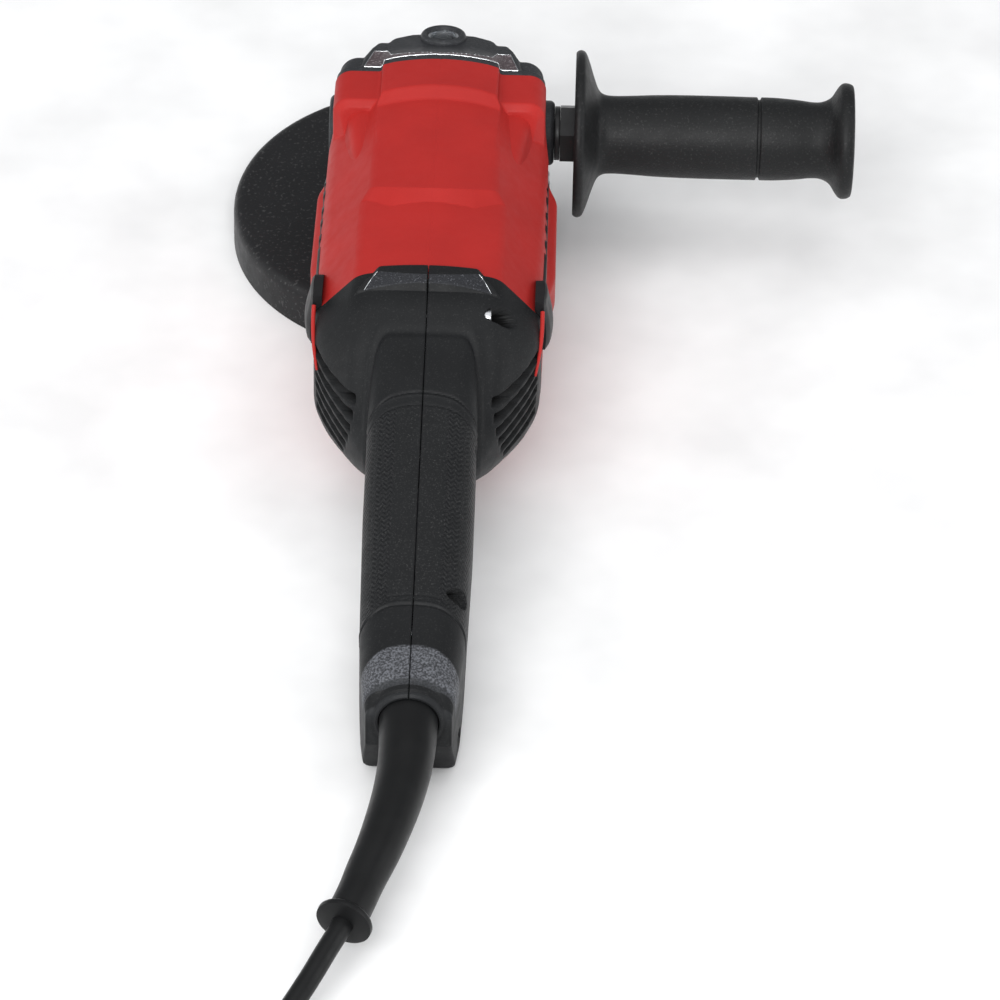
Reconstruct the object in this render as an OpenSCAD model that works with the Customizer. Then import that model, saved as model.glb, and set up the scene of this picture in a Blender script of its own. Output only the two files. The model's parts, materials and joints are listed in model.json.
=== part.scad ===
// Two-handed angle grinder for 180 mm discs, shown without a disc.
// The origin is on the spindle axis at the disc's seating face. +Z points up along the spindle,
// +Y runs forward along the motor, and +X points to the side handle. All lengths are millimetres.

/* [Drive] */
// Height of the motor axis above the disc seat
motor_z = 64; // [63.5:0.5:64.5]
// Teeth on the motor pinion
pinion_teeth = 11; // [10:1:12]
// Teeth on the crown wheel
wheel_teeth = 39; // [37:1:41]
// Pitch radius of the crown wheel at its outer edge
wheel_pitch_r = 29; // [28:0.5:29.5]

/* [Motor housing] */
// Half the width of the motor housing
body_half_w = 50; // [49:0.5:51]
// Height of the front edge of the housing's top face
body_top_z = 108; // [107:0.5:109]
// Height of the housing's underside
body_under_z = 21; // [20.5:0.5:22]
// Wall of the housing and of the handle shells
wall = 3; // [2.6:0.2:3.2]

/* [Rear handle] */
// Half the width of the rear handle's grip
grip_half_w = 23.5; // [23:0.5:24.5]
// Slope of the rear handle, in degrees
grip_slope = 14; // [13.5:0.5:14.5]

/* [Guard] */
// Outer radius of the guard
guard_r = 97; // [94:0.5:100]
// Height of the guard's top face
guard_top_z = 9.5; // [9:0.1:9.6]
// Angle that the guard's rim covers
guard_sweep = 190; // [180:1:200]
// Thickness of the guard's sheet steel
guard_t = 2; // [1.5:0.25:2]

/* [Side handle] */
// Distance of the side handle's flange from the spindle axis
flange_x = 62; // [61.8:0.2:64]
// Radius of the side handle's hand-guard flange
flange_r = 38.5; // [35:0.5:38.5]

/* [Power cord] */
// Outer diameter of the cord
cord_d = 9; // [8:0.5:9]
// Mean diameter of the coil
coil_mean_d = 108; // [100:1:110]

/* [Hidden] */
$fn = 64;

eps = 0.01;
floor_z = -12;
m14_hole_r = 6;
m14_minor_r = 5.95;
m14_thread_r = 7;
m14_depth = 14;

black = [0.10, 0.10, 0.11];
red = [0.72, 0.13, 0.12];
steel = [0.62, 0.63, 0.65];
charcoal = [0.27, 0.27, 0.30];
copper = [0.72, 0.42, 0.24];
brass = [0.78, 0.64, 0.34];

// ---------- helpers ----------

// One corner of an outline, clockwise from the angle a0.
corner_steps = 6;
function corner(cx, cz, r, a0) =
    [for (i = [0:corner_steps]) let (a = a0 - 90 * i / corner_steps) [cx + r * cos(a), cz + r * sin(a)]];
// A rounded outline, w half as wide, from zb to zt, with corner radii rt and rb and a top that rises by crown.
function outline(w, zt, zb, rt, rb, crown) = concat(
    corner(-w + rt, zt - crown - rt, rt, 180),
    [[0, zt]],
    corner(w - rt, zt - crown - rt, rt, 90),
    corner(w - rb, zb + rb, rb, 0),
    corner(-w + rb, zb + rb, rb, -90));
function ring(y, o) = [for (p = o) [p[0], y, p[1]]];

// A closed solid through rings with the same number of points.
module loft(rings) {
    n = len(rings[0]);
    m = len(rings);
    polyhedron(
        points = [for (r = rings) each r],
        faces = concat(
            [[for (i = [n - 1:-1:0]) i]],
            [for (k = [0:m - 2]) for (i = [0:n - 1]) let (a = k * n + i, b = k * n + (i + 1) % n)
                each [[a, b, b + n], [a, b + n, a + n]]],
            [[for (i = [0:n - 1]) (m - 1) * n + i]]));
}

// A smooth curve through hand-set points, with s steps a span.
function blend(a, b, c, d, t) =
    0.5 * (2 * b + (c - a) * t + (2 * a - 5 * b + 4 * c - d) * t * t + (3 * b - a - 3 * c + d) * t * t * t);
function curve(p, s) = let (n = len(p)) concat(
    [for (i = [0:n - 2]) for (j = [0:s - 1])
        blend(p[max(i - 1, 0)], p[i], p[i + 1], p[min(i + 2, n - 1)], j / s)],
    [p[n - 1]]);

// Circular rings swept along a path; radii holds one radius for each point of the path.
function unit(v) = v / norm(v);
function heading(path, i) = unit(path[min(i + 1, len(path) - 1)] - path[max(i - 1, 0)]);
function sweep_ring(path, i, r, sides) = let (
    d = heading(path, i),
    side = unit(cross(d, [0, 0, 1])),
    up = cross(side, d))
    [for (k = [0:sides - 1]) path[i] + r * (cos(360 * k / sides) * side + sin(360 * k / sides) * up)];
module sweep(path, radii, sides = 10) {
    loft([for (i = [0:len(path) - 1]) sweep_ring(path, i, radii[i], sides)]);
}

module along_x(r, x0, x1, y, z) {
    translate([x0, y, z]) rotate([0, 90, 0]) cylinder(r = r, h = x1 - x0);
}
module along_y(r, y0, y1, x = 0, z = motor_z) {
    translate([x, y1, z]) rotate([90, 0, 0]) cylinder(r = r, h = y1 - y0);
}
module tube_y(r, bore, y0, y1) {
    difference() {
        along_y(r, y0, y1);
        along_y(bore, y0 - 1, y1 + 1);
    }
}
module tube_z(r, bore, z0, z1) {
    difference() {
        translate([0, 0, z0]) cylinder(r = r, h = z1 - z0);
        translate([0, 0, z0 - 1]) cylinder(r = bore, h = z1 - z0 + 2);
    }
}
module block(x0, x1, y0, y1, z0, z1) {
    translate([x0, y0, z0]) cube([x1 - x0, y1 - y0, z1 - z0]);
}
module both_sides() {
    children();
    mirror([1, 0, 0]) children();
}
// A socket screw on +Z with its head's seat at the origin.
module screw(r, long, head_r, head_h) {
    difference() {
        union() {
            cylinder(r = head_r, h = head_h);
            translate([0, 0, -long]) cylinder(r = r, h = long + eps);
        }
        translate([0, 0, head_h * 0.4]) cylinder(r = head_r * 0.45, h = head_h, $fn = 6);
    }
}
// A helical spring on +Z.
module spring(r, wire_r, h, turns) {
    steps = turns * 12;
    path = [for (i = [0:steps]) let (a = 30 * i) [r * cos(a), r * sin(a), wire_r + (h - 2 * wire_r) * i / steps]];
    sweep(path, [for (p = path) wire_r], 6);
}
// A ball bearing around +Z: two rings and the balls between them, joined by the cage.
module ball_bearing(bore, r, h) {
    race = (r - bore) * 0.28;
    difference() {
        cylinder(r = r, h = h);
        translate([0, 0, -1]) cylinder(r = bore, h = h + 2);
        for (z = [-1, h - 0.8]) translate([0, 0, z]) difference() {
            cylinder(r = r - race, h = 1.8);
            translate([0, 0, -1]) cylinder(r = bore + race, h = 4);
        }
    }
}

// ---------- motor housing ----------

front_y = -30;
joint_y = -186;
spigot_y = -46;
corner_top = 24;
corner_low = 20;
body_crown = 3;
// Each row: y, half width, top, underside.
body_rows = [
    [front_y, body_half_w - 2.5, body_top_z, body_under_z],
    [-53, body_half_w, body_top_z + 1, body_under_z - 1],
    [-58, body_half_w, body_top_z - 3, body_under_z - 1],
    [-129, body_half_w + 0.5, body_top_z - 3.5, body_under_z - 1],
    [-137, body_half_w + 0.5, body_top_z - 6.5, body_under_z - 1],
    [joint_y, body_half_w, body_top_z - 6.5, body_under_z]];
function body_ring(row, t, y) =
    ring(y, outline(row[1] - t, row[2] - t, row[3] + t, corner_top - t, corner_low - t, body_crown));

flange_screws = [[30, 91], [41, 72]];
pillar_r = 5.2;
pillar_end_y = -49;
brush_y = -155;
rear_seat_r = 17;
rear_seat_y = [-182, -169];
panel_y = [-183, -62];
panel_z = [44, 78];
panel_out = 3.5;
stator_r = 36;
skirt_z = 34;

module body_solid(t) {
    n = len(body_rows) - 1;
    loft([for (k = [0:n]) body_ring(body_rows[k], t, body_rows[k][0] + (t > 0 ? (k == 0 ? 1 : k == n ? -1 : 0) : 0))]);
}
// A cross wall of the housing from y0 to y1.
module body_web(y0, y1, bore) {
    difference() {
        intersection() {
            body_solid(0.5);
            block(-60, 60, y0, y1, 0, 120);
        }
        along_y(bore, y0 - 1, y1 + 1);
    }
}
module panel_shape(grow) {
    block(body_half_w - 1.5 - grow, body_half_w + panel_out, panel_y[0] - grow, panel_y[1] + grow,
        panel_z[0] - grow, panel_z[1] + grow);
}

module motor_housing() color(red) difference() {
    union() {
        difference() {
            body_solid(0);
            body_solid(wall);
        }
        // Pillars for the gear housing's screws.
        both_sides() for (p = flange_screws) along_y(pillar_r, pillar_end_y, front_y, p[0], p[1]);
        // Webs that hold the air baffle and the stator.
        body_web(-69, -66, stator_r - 2);
        difference() {
            union() {
                body_web(-86, -82, stator_r);
                body_web(-126, -122, stator_r);
            }
            for (a = [45, 135]) translate([0, 0, motor_z]) rotate([0, a, 0]) block(-90, 90, -130, -80, -9, 9);
        }
        // Rear bridge with the bearing seat.
        along_y(rear_seat_r + 3, rear_seat_y[0] - 2, rear_seat_y[1]);
        intersection() {
            body_solid(1);
            for (a = [45, 135]) translate([0, 0, motor_z]) rotate([0, a, 0]) block(-90, 90, -184, -176, -3, 3);
        }
    }
    along_y(rear_seat_r, rear_seat_y[0], rear_seat_y[1] + 1);
    along_y(8, rear_seat_y[0] - 5, rear_seat_y[1]);
    both_sides() for (p = flange_screws) along_y(2.1, pillar_end_y + 2, front_y + 1, p[0], p[1]);
    // Windows over the brushes, under the side panels.
    both_sides() block(body_half_w - wall - 4, body_half_w + 9, brush_y - 9, brush_y + 9, motor_z - 9, motor_z + 9);
    both_sides() panel_shape(0.2);
    // The lower front is cut back for the gear housing's foot.
    block(-60, 60, spigot_y, 0, 0, skirt_z);
}

module side_panel() {
    difference() {
        union() {
            panel_shape(0);
            // The rounded cover over the brush.
            intersection() {
                block(body_half_w, 90, panel_y[0], brush_y + 16, panel_z[0], panel_z[1]);
                translate([body_half_w - 34, brush_y - 4, motor_z - 3]) sphere(r = 38.6);
            }
        }
        // Cooling slots ahead of the brush cover.
        for (k = [0:4]) block(body_half_w - 5, 90, -128 + 11 * k, -124.5 + 11 * k, motor_z - 8, motor_z + 8);
        // It leaves room for the brush holder's cap.
        along_x(7, body_half_w - 5, body_half_w + 1, brush_y, motor_z);
    }
}
module side_panel_left() color(black) mirror([1, 0, 0]) side_panel();
module side_panel_right() color(black) side_panel();

// ---------- gear housing ----------

handle_bore_z = 48.5;
boss_face_x = 52;
top_bore_y = 4;
top_bore_z = 101;
chamber_r = 34;
cover_z = 26;
cover_screws = [for (x = [-1, 1]) for (y = [-1, 1]) [33 * x, 24 * y]];
front_bearing_y = [-46, -36];
lock_z = 50.2;
lock_face_y = 47;
lock_travel = 4.5;

module head_shape() intersection() {
    head_hulls();
    block(-60, 60, front_y, 60, cover_z, 120);
}
module head_hulls() {
    hull() {
        loft([for (y = [front_y + 3, front_y]) body_ring(body_rows[0], 1, y)]);
        translate([0, 0, cover_z]) cylinder(r = 41, h = 44, $fn = 48);
    }
    hull() {
        translate([0, front_y + 2, 0]) intersection() {
            loft([for (y = [3, 0]) body_ring(body_rows[0], 3, y)]);
            block(-33, 33, -1, 4, 60, 120);
        }
        translate([0, 0, 70]) cylinder(r = 27, h = 22, $fn = 48);
    }
}

module gear_housing() color(charcoal) difference() {
    union() {
        head_shape();
        // Spigot inside the motor housing, and the foot below it.
        difference() {
            intersection() {
                loft([for (y = [front_y + 1, spigot_y + 0.5]) body_ring(body_rows[0], wall + 0.3, y)]);
                block(-60, 60, spigot_y, 0, cover_z, 120);
            }
            both_sides() for (p = flange_screws) along_y(pillar_r + 0.4, spigot_y - 1, front_y, p[0], p[1]);
        }
        intersection() {
            loft([for (y = [front_y + 1, spigot_y + 0.3]) body_ring(body_rows[0], 1, y)]);
            block(-60, 60, spigot_y, 0, cover_z, skirt_z - 0.3);
        }
        both_sides() along_x(15, 30, boss_face_x, 0, handle_bore_z);
        translate([0, top_bore_y, 80]) cylinder(r = 14, h = 14);
        translate([0, top_bore_y, 80]) cylinder(r = 10.5, h = top_bore_z - 80);
        for (p = cover_screws) translate([p[0], p[1], cover_z]) cylinder(r = 7, h = 18);
        along_y(12, 30, lock_face_y, 0, lock_z);
    }
    // Gear chamber, open at the bottom, and the pinion's tunnel.
    translate([0, 0, cover_z - 1]) cylinder(r = chamber_r, h = 37);
    translate([0, 0, 55]) cylinder(r = 20, h = 22);
    along_y(14, front_bearing_y[1] - 1, 0);
    along_y(16, spigot_y - 1, front_bearing_y[1]);
    // The space behind the bearing wall stays open to the fan.
    difference() {
        loft([for (y = [-39, spigot_y - 1]) body_ring(body_rows[0], wall + 4, y)]);
        along_y(20, spigot_y - 2, -38);
        translate([0, 0, cover_z - 1]) cylinder(r = chamber_r + 4, h = 40);
    }
    translate([0, 0, 70]) cylinder(r = 9, h = 13);
    // Threaded bores for the side handle, on the left, on the right and on top.
    both_sides() along_x(m14_hole_r, boss_face_x - m14_depth, boss_face_x + 1, 0, handle_bore_z);
    translate([0, top_bore_y, top_bore_z - m14_depth]) cylinder(r = m14_hole_r, h = m14_depth + 1);
    // Screw holes, with channels for the driver.
    both_sides() for (p = flange_screws) {
        along_y(2.7, spigot_y - 2, front_y + 20, p[0], p[1]);
        along_y(5.4, front_y + 8, 60, p[0], p[1]);
    }
    for (p = cover_screws) translate([p[0], p[1], cover_z - 1]) cylinder(r = 2.1, h = 15);
    // Guide and pocket of the lock button.
    along_y(3.05, 30, lock_face_y, 0, lock_z);
    along_y(8.4, lock_face_y - 10, lock_face_y + 1, 0, lock_z);
}

neck_r = 31.75;
neck_z = 6;
spindle_seat_z = [22, 33];

module bearing_cover() color(charcoal) difference() {
    union() {
        translate([0, 0, neck_z]) cylinder(r = neck_r, h = 15);
        translate([0, 0, 20]) cylinder(r = 41, h = cover_z - 20);
        for (p = cover_screws) translate([p[0], p[1], 20]) cylinder(r = 7, h = cover_z - 20);
        translate([0, 0, cover_z - 1]) cylinder(r = chamber_r - 0.1, h = 8);
    }
    translate([0, 0, spindle_seat_z[0]]) cylinder(r = 17.5, h = 20);
    translate([0, 0, 0]) cylinder(r = 9.5, h = 40);
    translate([0, 0, neck_z - 1]) cylinder(r = 13, h = 6);
    for (p = cover_screws) translate([p[0], p[1], 19]) {
        cylinder(r = 2.7, h = 10);
        cylinder(r = 4.9, h = 4.8);
    }
}

module gear_housing_screws() color(steel) both_sides() for (p = flange_screws)
    translate([p[0], front_y + 8, p[1]]) rotate([-90, 0, 0]) screw(2.05, 23, 4.4, 4.5);

module bearing_cover_screws() color(steel) for (p = cover_screws)
    translate([p[0], p[1], 23.8]) rotate([180, 0, 0]) screw(2.05, 13, 4.4, 3.3);

// ---------- rear handle shells ----------

// Each row: y, half width, top, bottom, top and bottom corner radius.
dome_rows = [
    [joint_y, body_half_w, body_top_z - 6.5, body_under_z, 24, 20],
    [-200, body_half_w, body_top_z - 9, body_under_z, 24, 20],
    [-214, body_half_w - 1, body_top_z - 14.5, body_under_z + 1, 24, 20],
    [-228, body_half_w - 3, body_top_z - 22, body_under_z + 3, 24, 20],
    [-242, body_half_w - 8, body_top_z - 32, body_under_z + 7, 20, 18],
    [-254, body_half_w - 15, body_top_z - 43, body_under_z + 12, 14, 14],
    [-264, body_half_w - 31, body_top_z - 54, body_under_z + 18, 8, 8]];
grip_rows = [
    [-208, grip_half_w - 1.5, 93, 36, 15, 12],
    [-221, grip_half_w - 0.5, 88.5, 34, 15, 12],
    [-245, grip_half_w, 82, 31.5, 15, 11],
    [-300, grip_half_w, 66, 18.2, 15, 10],
    [-345, grip_half_w - 1, 51.5, 7.2, 14, 9],
    [-362, grip_half_w - 1.5, 47.5, -2, 13, 7],
    [-376, grip_half_w - 2.5, 45, -9.5, 12, 5],
    [-386, grip_half_w - 4, 43, floor_z, 12, 4],
    [-396, grip_half_w - 5.5, 41, floor_z + 2, 11, 4]];
function shell_ring(row, t, y) = ring(y, outline(row[1] - t, row[2] - t, row[3] + t,
    max(row[4] - t, 2), max(row[5] - t, 1), 2));
module shell_solid(rows, t, y_front, y_back) {
    n = len(rows) - 1;
    loft([for (k = [0:n]) shell_ring(rows[k], t, rows[k][0] + (k == 0 ? y_front : k == n ? y_back : 0))]);
}

mouth = [0, -396, 22];
mouth_r = 12.7;
collar_r = 18;
sleeve_groove_y = [-391, -386];
// Shell screws: y, z and the x of the head's seat.
shell_screw_at = [[-202, 89, 25], [-192, 36, 34], [-262, 60, 14], [-342, 45, 9.5], [-378, 0, 9]];

// Places children in the handle's own frame: +Z away from the trigger, -Y towards the cord.
module on_handle() {
    translate([0, -258, 28.5]) rotate([grip_slope, 0, 0]) children();
}
pivot = [0, -4, 5];
plunger_y = -44;

module shell_outer() {
    shell_solid(dome_rows, 0, 0, 0);
    shell_solid(grip_rows, 0, 0, 0);
}
module shell_ribs() {
    for (s = shell_screw_at) along_x(5, -60, 60, s[0], s[1]);
    on_handle() {
        // Pivot bosses of the trigger.
        both_sides() along_x(5, 11, 40, pivot[1], pivot[2]);
        // Ribs that hold the switch, and the seat of the trigger spring.
        both_sides() for (y = [-64.5, -19.7]) block(8, 40, y, y + 2, 16, 42);
        block(-40, 40, -78, -65, 15, 17.5);
    }
    // Collar that holds the cable sleeve.
    along_y(16.5, -396, -378, mouth[0], mouth[2]);
    // Bosses of the cable clamp, on the left shell.
    for (z = [12, 38]) along_x(4, -30, -1.2, -357, z);
}
// Vent slots: level gills, one above the other, that run round each flank.
vents = 6;
vent_w = 4;
vent_pitch = 6.9;
vent_top_z = 72;
vent_y = [-275, -203];
module vent_slots() {
    for (k = [0:vents - 1]) let (z = vent_top_z - vent_pitch * k)
        block(31 + 1.2 * k, 70, vent_y[0], vent_y[1], z - vent_w / 2, z + vent_w / 2);
}

module rear_shell() difference() {
    union() {
        difference() {
            shell_outer();
            shell_solid(dome_rows, wall, 1, 0);
            shell_solid(grip_rows, wall, 0, 3);
        }
        intersection() {
            shell_outer();
            difference() {
                shell_ribs();
                on_handle() block(-12.4, 12.4, -62.4, -19.6, 13, 40);
            }
        }
        along_y(collar_r, -398, -390, mouth[0], mouth[2]);
    }
    // Mouth and groove for the cable sleeve.
    along_y(mouth_r, -400, -376, mouth[0], mouth[2]);
    along_y(15.2, sleeve_groove_y[0], sleeve_groove_y[1], mouth[0], mouth[2]);
    // Slot for the trigger, and the bore of its pin.
    on_handle() {
        block(-11.5, 11.5, -84, 4, -12, 13);
        along_x(2, -15, 15, pivot[1], pivot[2]);
    }
    both_sides() vent_slots();
    for (s = shell_screw_at) {
        along_x(2.1, -1, s[2] + 1, s[0], s[1]);
        along_x(1.7, -14, 0, s[0], s[1]);
        along_x(4.3, s[2], 60, s[0], s[1]);
    }
    for (z = [12, 38]) along_x(1.6, -16, 0, -357, z);
}
module rear_shell_left() color(black) intersection() {
    rear_shell();
    block(-60, 0, -420, -180, -20, 120);
}
module rear_shell_right() color(black) intersection() {
    rear_shell();
    block(0, 60, -420, -180, -20, 120);
}
module shell_screws() color(steel) for (s = shell_screw_at)
    translate([s[2], s[0], s[1]]) rotate([0, 90, 0]) screw(1.65, s[2] + 12, 3.9, 2.8);

// ---------- motor ----------

shaft_r = 6;
nose_r = 4;
fan_y = [-64, -50];
core_y = [-132, -76];
core_r = 22.3;
stator_bore = 23;
commutator_y = [-166, -145];
commutator_r = 15;
slots = 12;

module front_armature_bearing() color(steel) translate([0, front_bearing_y[1], motor_z]) rotate([90, 0, 0])
    ball_bearing(shaft_r, 16, front_bearing_y[1] - front_bearing_y[0]);
module rear_armature_bearing() color(steel) translate([0, -171, motor_z]) rotate([90, 0, 0]) ball_bearing(5, 15, 9);
module rear_bearing_sleeve() color(black) tube_y(rear_seat_r, 15, -181, -170);

module air_baffle() color(black) difference() {
    union() {
        tube_y(41, 38, -66, -49.5);
        tube_y(41, 30, -66, -64.5);
    }
    both_sides() for (p = flange_screws) along_y(pillar_r + 0.3, -67, -40, p[0], p[1]);
    body_outside();
}
// Everything outside the motor housing's inner face, near the baffle.
module body_outside() {
    difference() {
        block(-80, 80, -70, -40, -20, 140);
        body_solid(wall + 0.1);
    }
}

module stator_core() color(steel) difference() {
    along_y(stator_r, core_y[0], core_y[1]);
    along_y(stator_bore, core_y[0] - 1, core_y[1] + 1);
    // Spaces for the two field coils, beside the poles.
    both_sides() translate([0, 0, motor_z]) block(20, 30, core_y[0] - 1, core_y[1] + 1, -14, 14);
}
module stator_coils() color(copper) both_sides() difference() {
    translate([0, 0, motor_z]) block(24, 29.7, core_y[0] - 9, core_y[1] + 9, -13.7, 13.7);
    along_y(stator_bore + 1.5, core_y[0] - 20, core_y[1] + 20);
}

holder_x = [17, 44];
brush_w = 6.4;
brush_h = 14;
module brush_holders() color(brass) both_sides() difference() {
    union() {
        block(holder_x[0], holder_x[1], brush_y - brush_w / 2 - 1.2, brush_y + brush_w / 2 + 1.2,
            motor_z - brush_h / 2 - 1.2, motor_z + brush_h / 2 + 1.2);
        along_x(6.5, holder_x[1] - 1, body_half_w - 0.5, brush_y, motor_z);
    }
    block(holder_x[0] - 1, holder_x[1] - 2, brush_y - brush_w / 2, brush_y + brush_w / 2,
        motor_z - brush_h / 2, motor_z + brush_h / 2);
    translate([body_half_w - 2, brush_y - 0.6, motor_z - 5]) cube([3, 1.2, 10]);
}
module carbon_brushes() color([0.2, 0.2, 0.22]) both_sides() difference() {
    block(14, 33, brush_y - brush_w / 2 + 0.05, brush_y + brush_w / 2 - 0.05,
        motor_z - brush_h / 2 + 0.05, motor_z + brush_h / 2 - 0.05);
    along_y(commutator_r + 0.08, brush_y - 10, brush_y + 10);
}
module brush_springs() color(steel) both_sides() translate([33.2, brush_y, motor_z]) rotate([0, 90, 0])
    spring(2.4, 0.45, 8.6, 6);

module armature_shaft() color(steel) {
    along_y(shaft_r, -60, front_bearing_y[1] + 0.5);
    along_y(8, -172 + 5, -59.9);
    along_y(5, -181, -166);
    along_y(nose_r, -40, -15.5);
}
module armature_core() color(steel) difference() {
    along_y(core_r, core_y[0], core_y[1]);
    along_y(8, core_y[0] - 1, core_y[1] + 1);
    for (k = [0:slots - 1]) translate([0, 0, motor_z]) rotate([0, 360 / slots * k, 0])
        block(-1.6, 1.6, core_y[0] - 1, core_y[1] + 1, 13.5, 30);
}
module armature_windings() color(copper) {
    for (y = [core_y[0], core_y[1]]) difference() {
        translate([0, y, motor_z]) rotate([y < -100 ? 90 : -90, 0, 0]) cylinder(r1 = 20.5, r2 = 17, h = 9);
        along_y(8.5, y - 20, y + 20);
    }
    for (k = [0:slots - 1]) translate([0, 0, motor_z]) rotate([0, 360 / slots * k, 0])
        block(-1.4, 1.4, core_y[0] - 1, core_y[1] + 1, 14, 20.5);
}
module commutator() color(copper) difference() {
    along_y(commutator_r, commutator_y[0], commutator_y[1]);
    along_y(8, commutator_y[0] - 1, commutator_y[1] + 1);
    for (k = [0:23]) translate([0, 0, motor_z]) rotate([0, 15 * k, 0])
        block(-0.3, 0.3, commutator_y[0] - 1, commutator_y[1] + 1, commutator_r - 1, commutator_r + 1);
}
blades = 13;
module cooling_fan() color([0.85, 0.82, 0.72]) difference() {
    union() {
        along_y(13, fan_y[0], fan_y[1] - 1);
        along_y(36, fan_y[1] - 3.5, fan_y[1] - 1.5);
        for (k = [0:blades - 1]) translate([0, 0, motor_z]) rotate([0, 360 / blades * k, 0])
            translate([12, 0, 0]) rotate([0, 18, 0]) block(-2, 24, fan_y[0] + 1, fan_y[1] - 2, -0.9, 0.9);
    }
    along_y(8, fan_y[0] - 1, -59.9);
    along_y(shaft_r, -60, fan_y[1] + 1);
}

// ---------- bevel gears ----------

// The pitch cones meet where the motor axis crosses the spindle axis.
cone_r = norm([wheel_pitch_r, wheel_pitch_r * pinion_teeth / wheel_teeth]);
wheel_cone = atan(wheel_teeth / pinion_teeth);
tooth_pitch = 2 * PI * wheel_pitch_r / wheel_teeth;
tooth_inner = 0.7;
tooth_above = 1.2;
tooth_below = 1.7;
tooth_tip_w = 0.09;
tooth_root_w = 0.25;

// A section of a tooth, scaled by s towards the apex. The cone opens along -Z by the half angle a.
function tooth_section(a, s) = [for (q = [[-tooth_root_w, -tooth_below], [tooth_root_w, -tooth_below],
    [tooth_tip_w, tooth_above], [-tooth_tip_w, tooth_above]])
    s * [cone_r * sin(a) + q[1] * cos(a), q[0] * tooth_pitch, -cone_r * cos(a) + q[1] * sin(a)]];
module teeth(count, a) {
    for (k = [0:count - 1]) rotate([0, 0, 360 * k / count])
        loft([tooth_section(a, 1), tooth_section(a, tooth_inner)]);
}
// The cone under the teeth. Its root stands a little above the teeth's feet.
function root_point(a, s) = s * [cone_r * sin(a) - (tooth_below - 0.3) * cos(a),
    -cone_r * cos(a) - (tooth_below - 0.3) * sin(a)];

hub_r = 14;
module crown_wheel() color(steel) difference() {
    union() {
        translate([0, 0, motor_z]) rotate([0, 0, -90 + 180 / wheel_teeth]) teeth(wheel_teeth, wheel_cone);
        translate([0, 0, motor_z]) rotate_extrude() polygon([
            [5, root_point(wheel_cone, tooth_inner)[1]],
            root_point(wheel_cone, tooth_inner),
            root_point(wheel_cone, 1),
            [root_point(wheel_cone, 1)[0], -18],
            [hub_r, -20],
            [hub_r, 34.2 - motor_z],
            [5, 34.2 - motor_z]]);
    }
    translate([0, 0, 30]) cylinder(r = 8.5, h = 40);
    // Holes that the lock pin enters.
    for (a = [0:90:270]) rotate([0, 0, a]) along_y(3.2, 23, 40, 0, lock_z);
}
module pinion() color(steel) difference() {
    union() {
        translate([0, 0, motor_z]) rotate([-90, 0, 0]) rotate([0, 0, 90]) teeth(pinion_teeth, 90 - wheel_cone);
        translate([0, 0, motor_z]) rotate([-90, 0, 0]) rotate_extrude() polygon([
            [3, root_point(90 - wheel_cone, tooth_inner)[1] + 0.4],
            [root_point(90 - wheel_cone, tooth_inner)[0], root_point(90 - wheel_cone, tooth_inner)[1] + 0.4],
            root_point(90 - wheel_cone, tooth_inner),
            root_point(90 - wheel_cone, 1),
            [root_point(90 - wheel_cone, 1)[0], front_bearing_y[1] + 0.6],
            [3, front_bearing_y[1] + 0.6]]);
    }
    along_y(nose_r, -40, -10);
}
module pinion_nut() color(steel) difference() {
    translate([0, -16, motor_z]) rotate([90, 0, 0]) cylinder(r = 6.6, h = 4, $fn = 6);
    along_y(nose_r, -22, -10);
}

// ---------- spindle ----------

thread_z = [-11.5, -1.8];
flange_z = 5;
module spindle() color(steel) {
    translate([0, 0, thread_z[0]]) cylinder(r = m14_thread_r, h = thread_z[1] - thread_z[0] + eps);
    translate([0, 0, thread_z[1]]) cylinder(r = 7.5, h = 34.2 - thread_z[1]);
    translate([0, 0, 34.1]) cylinder(r = 8.5, h = 24.9);
    translate([0, 0, 58.9]) cylinder(r = 6, h = 22);
}
module wheel_circlip() color(steel) translate([0, 0, 58]) difference() {
    cylinder(r = 11, h = 1);
    translate([0, 0, -1]) cylinder(r = 8.5, h = 3);
    translate([-2, 0, -1]) cube([4, 20, 3]);
}
module disc_flange() color(steel) {
    tube_z(22.5, 7.5, 0, flange_z);
    tube_z(11.1, 7.5, -1.7, eps);
}
module spindle_bearing() color(steel) translate([0, 0, spindle_seat_z[0]])
    ball_bearing(7.5, 17.5, spindle_seat_z[1] - spindle_seat_z[0]);
module spindle_needle_bearing() color(steel) tube_z(9, 6.05, 70.5, 82);
module dust_ring() color(black) tube_z(13, 8, neck_z + 0.5, 10.9);

// ---------- guard ----------

collar_t = 2;
collar_bore = 31.8;
collar_out = collar_bore + collar_t;
rim_fillet = 5;
ring_r = 42;
guard_from = 180 - guard_sweep / 2;

module guard_hood() color(black) {
    // Sheet with a rounded edge: a disc sector and its rim.
    rotate([0, 0, guard_from]) rotate_extrude(angle = guard_sweep) polygon(concat(
        [[ring_r, guard_top_z]],
        [[ring_r, guard_top_z - guard_t]],
        [for (i = [6:-1:0]) let (a = 15 * i, r = rim_fillet - guard_t)
            [guard_r - rim_fillet + r * cos(a), guard_top_z - rim_fillet + r * sin(a)]],
        [[guard_r - guard_t, floor_z], [guard_r, floor_z]],
        [for (i = [0:6]) let (a = 15 * i)
            [guard_r - rim_fillet + rim_fillet * cos(a), guard_top_z - rim_fillet + rim_fillet * sin(a)]]));
}
// The collar that the clamp band grips, with the ring that it is welded to the hood by.
module guard_collar() color(black) {
    tube_z(ring_r, collar_bore, guard_top_z - guard_t, guard_top_z);
    tube_z(collar_out, collar_bore, guard_top_z - 1, 18.5);
}

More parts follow.
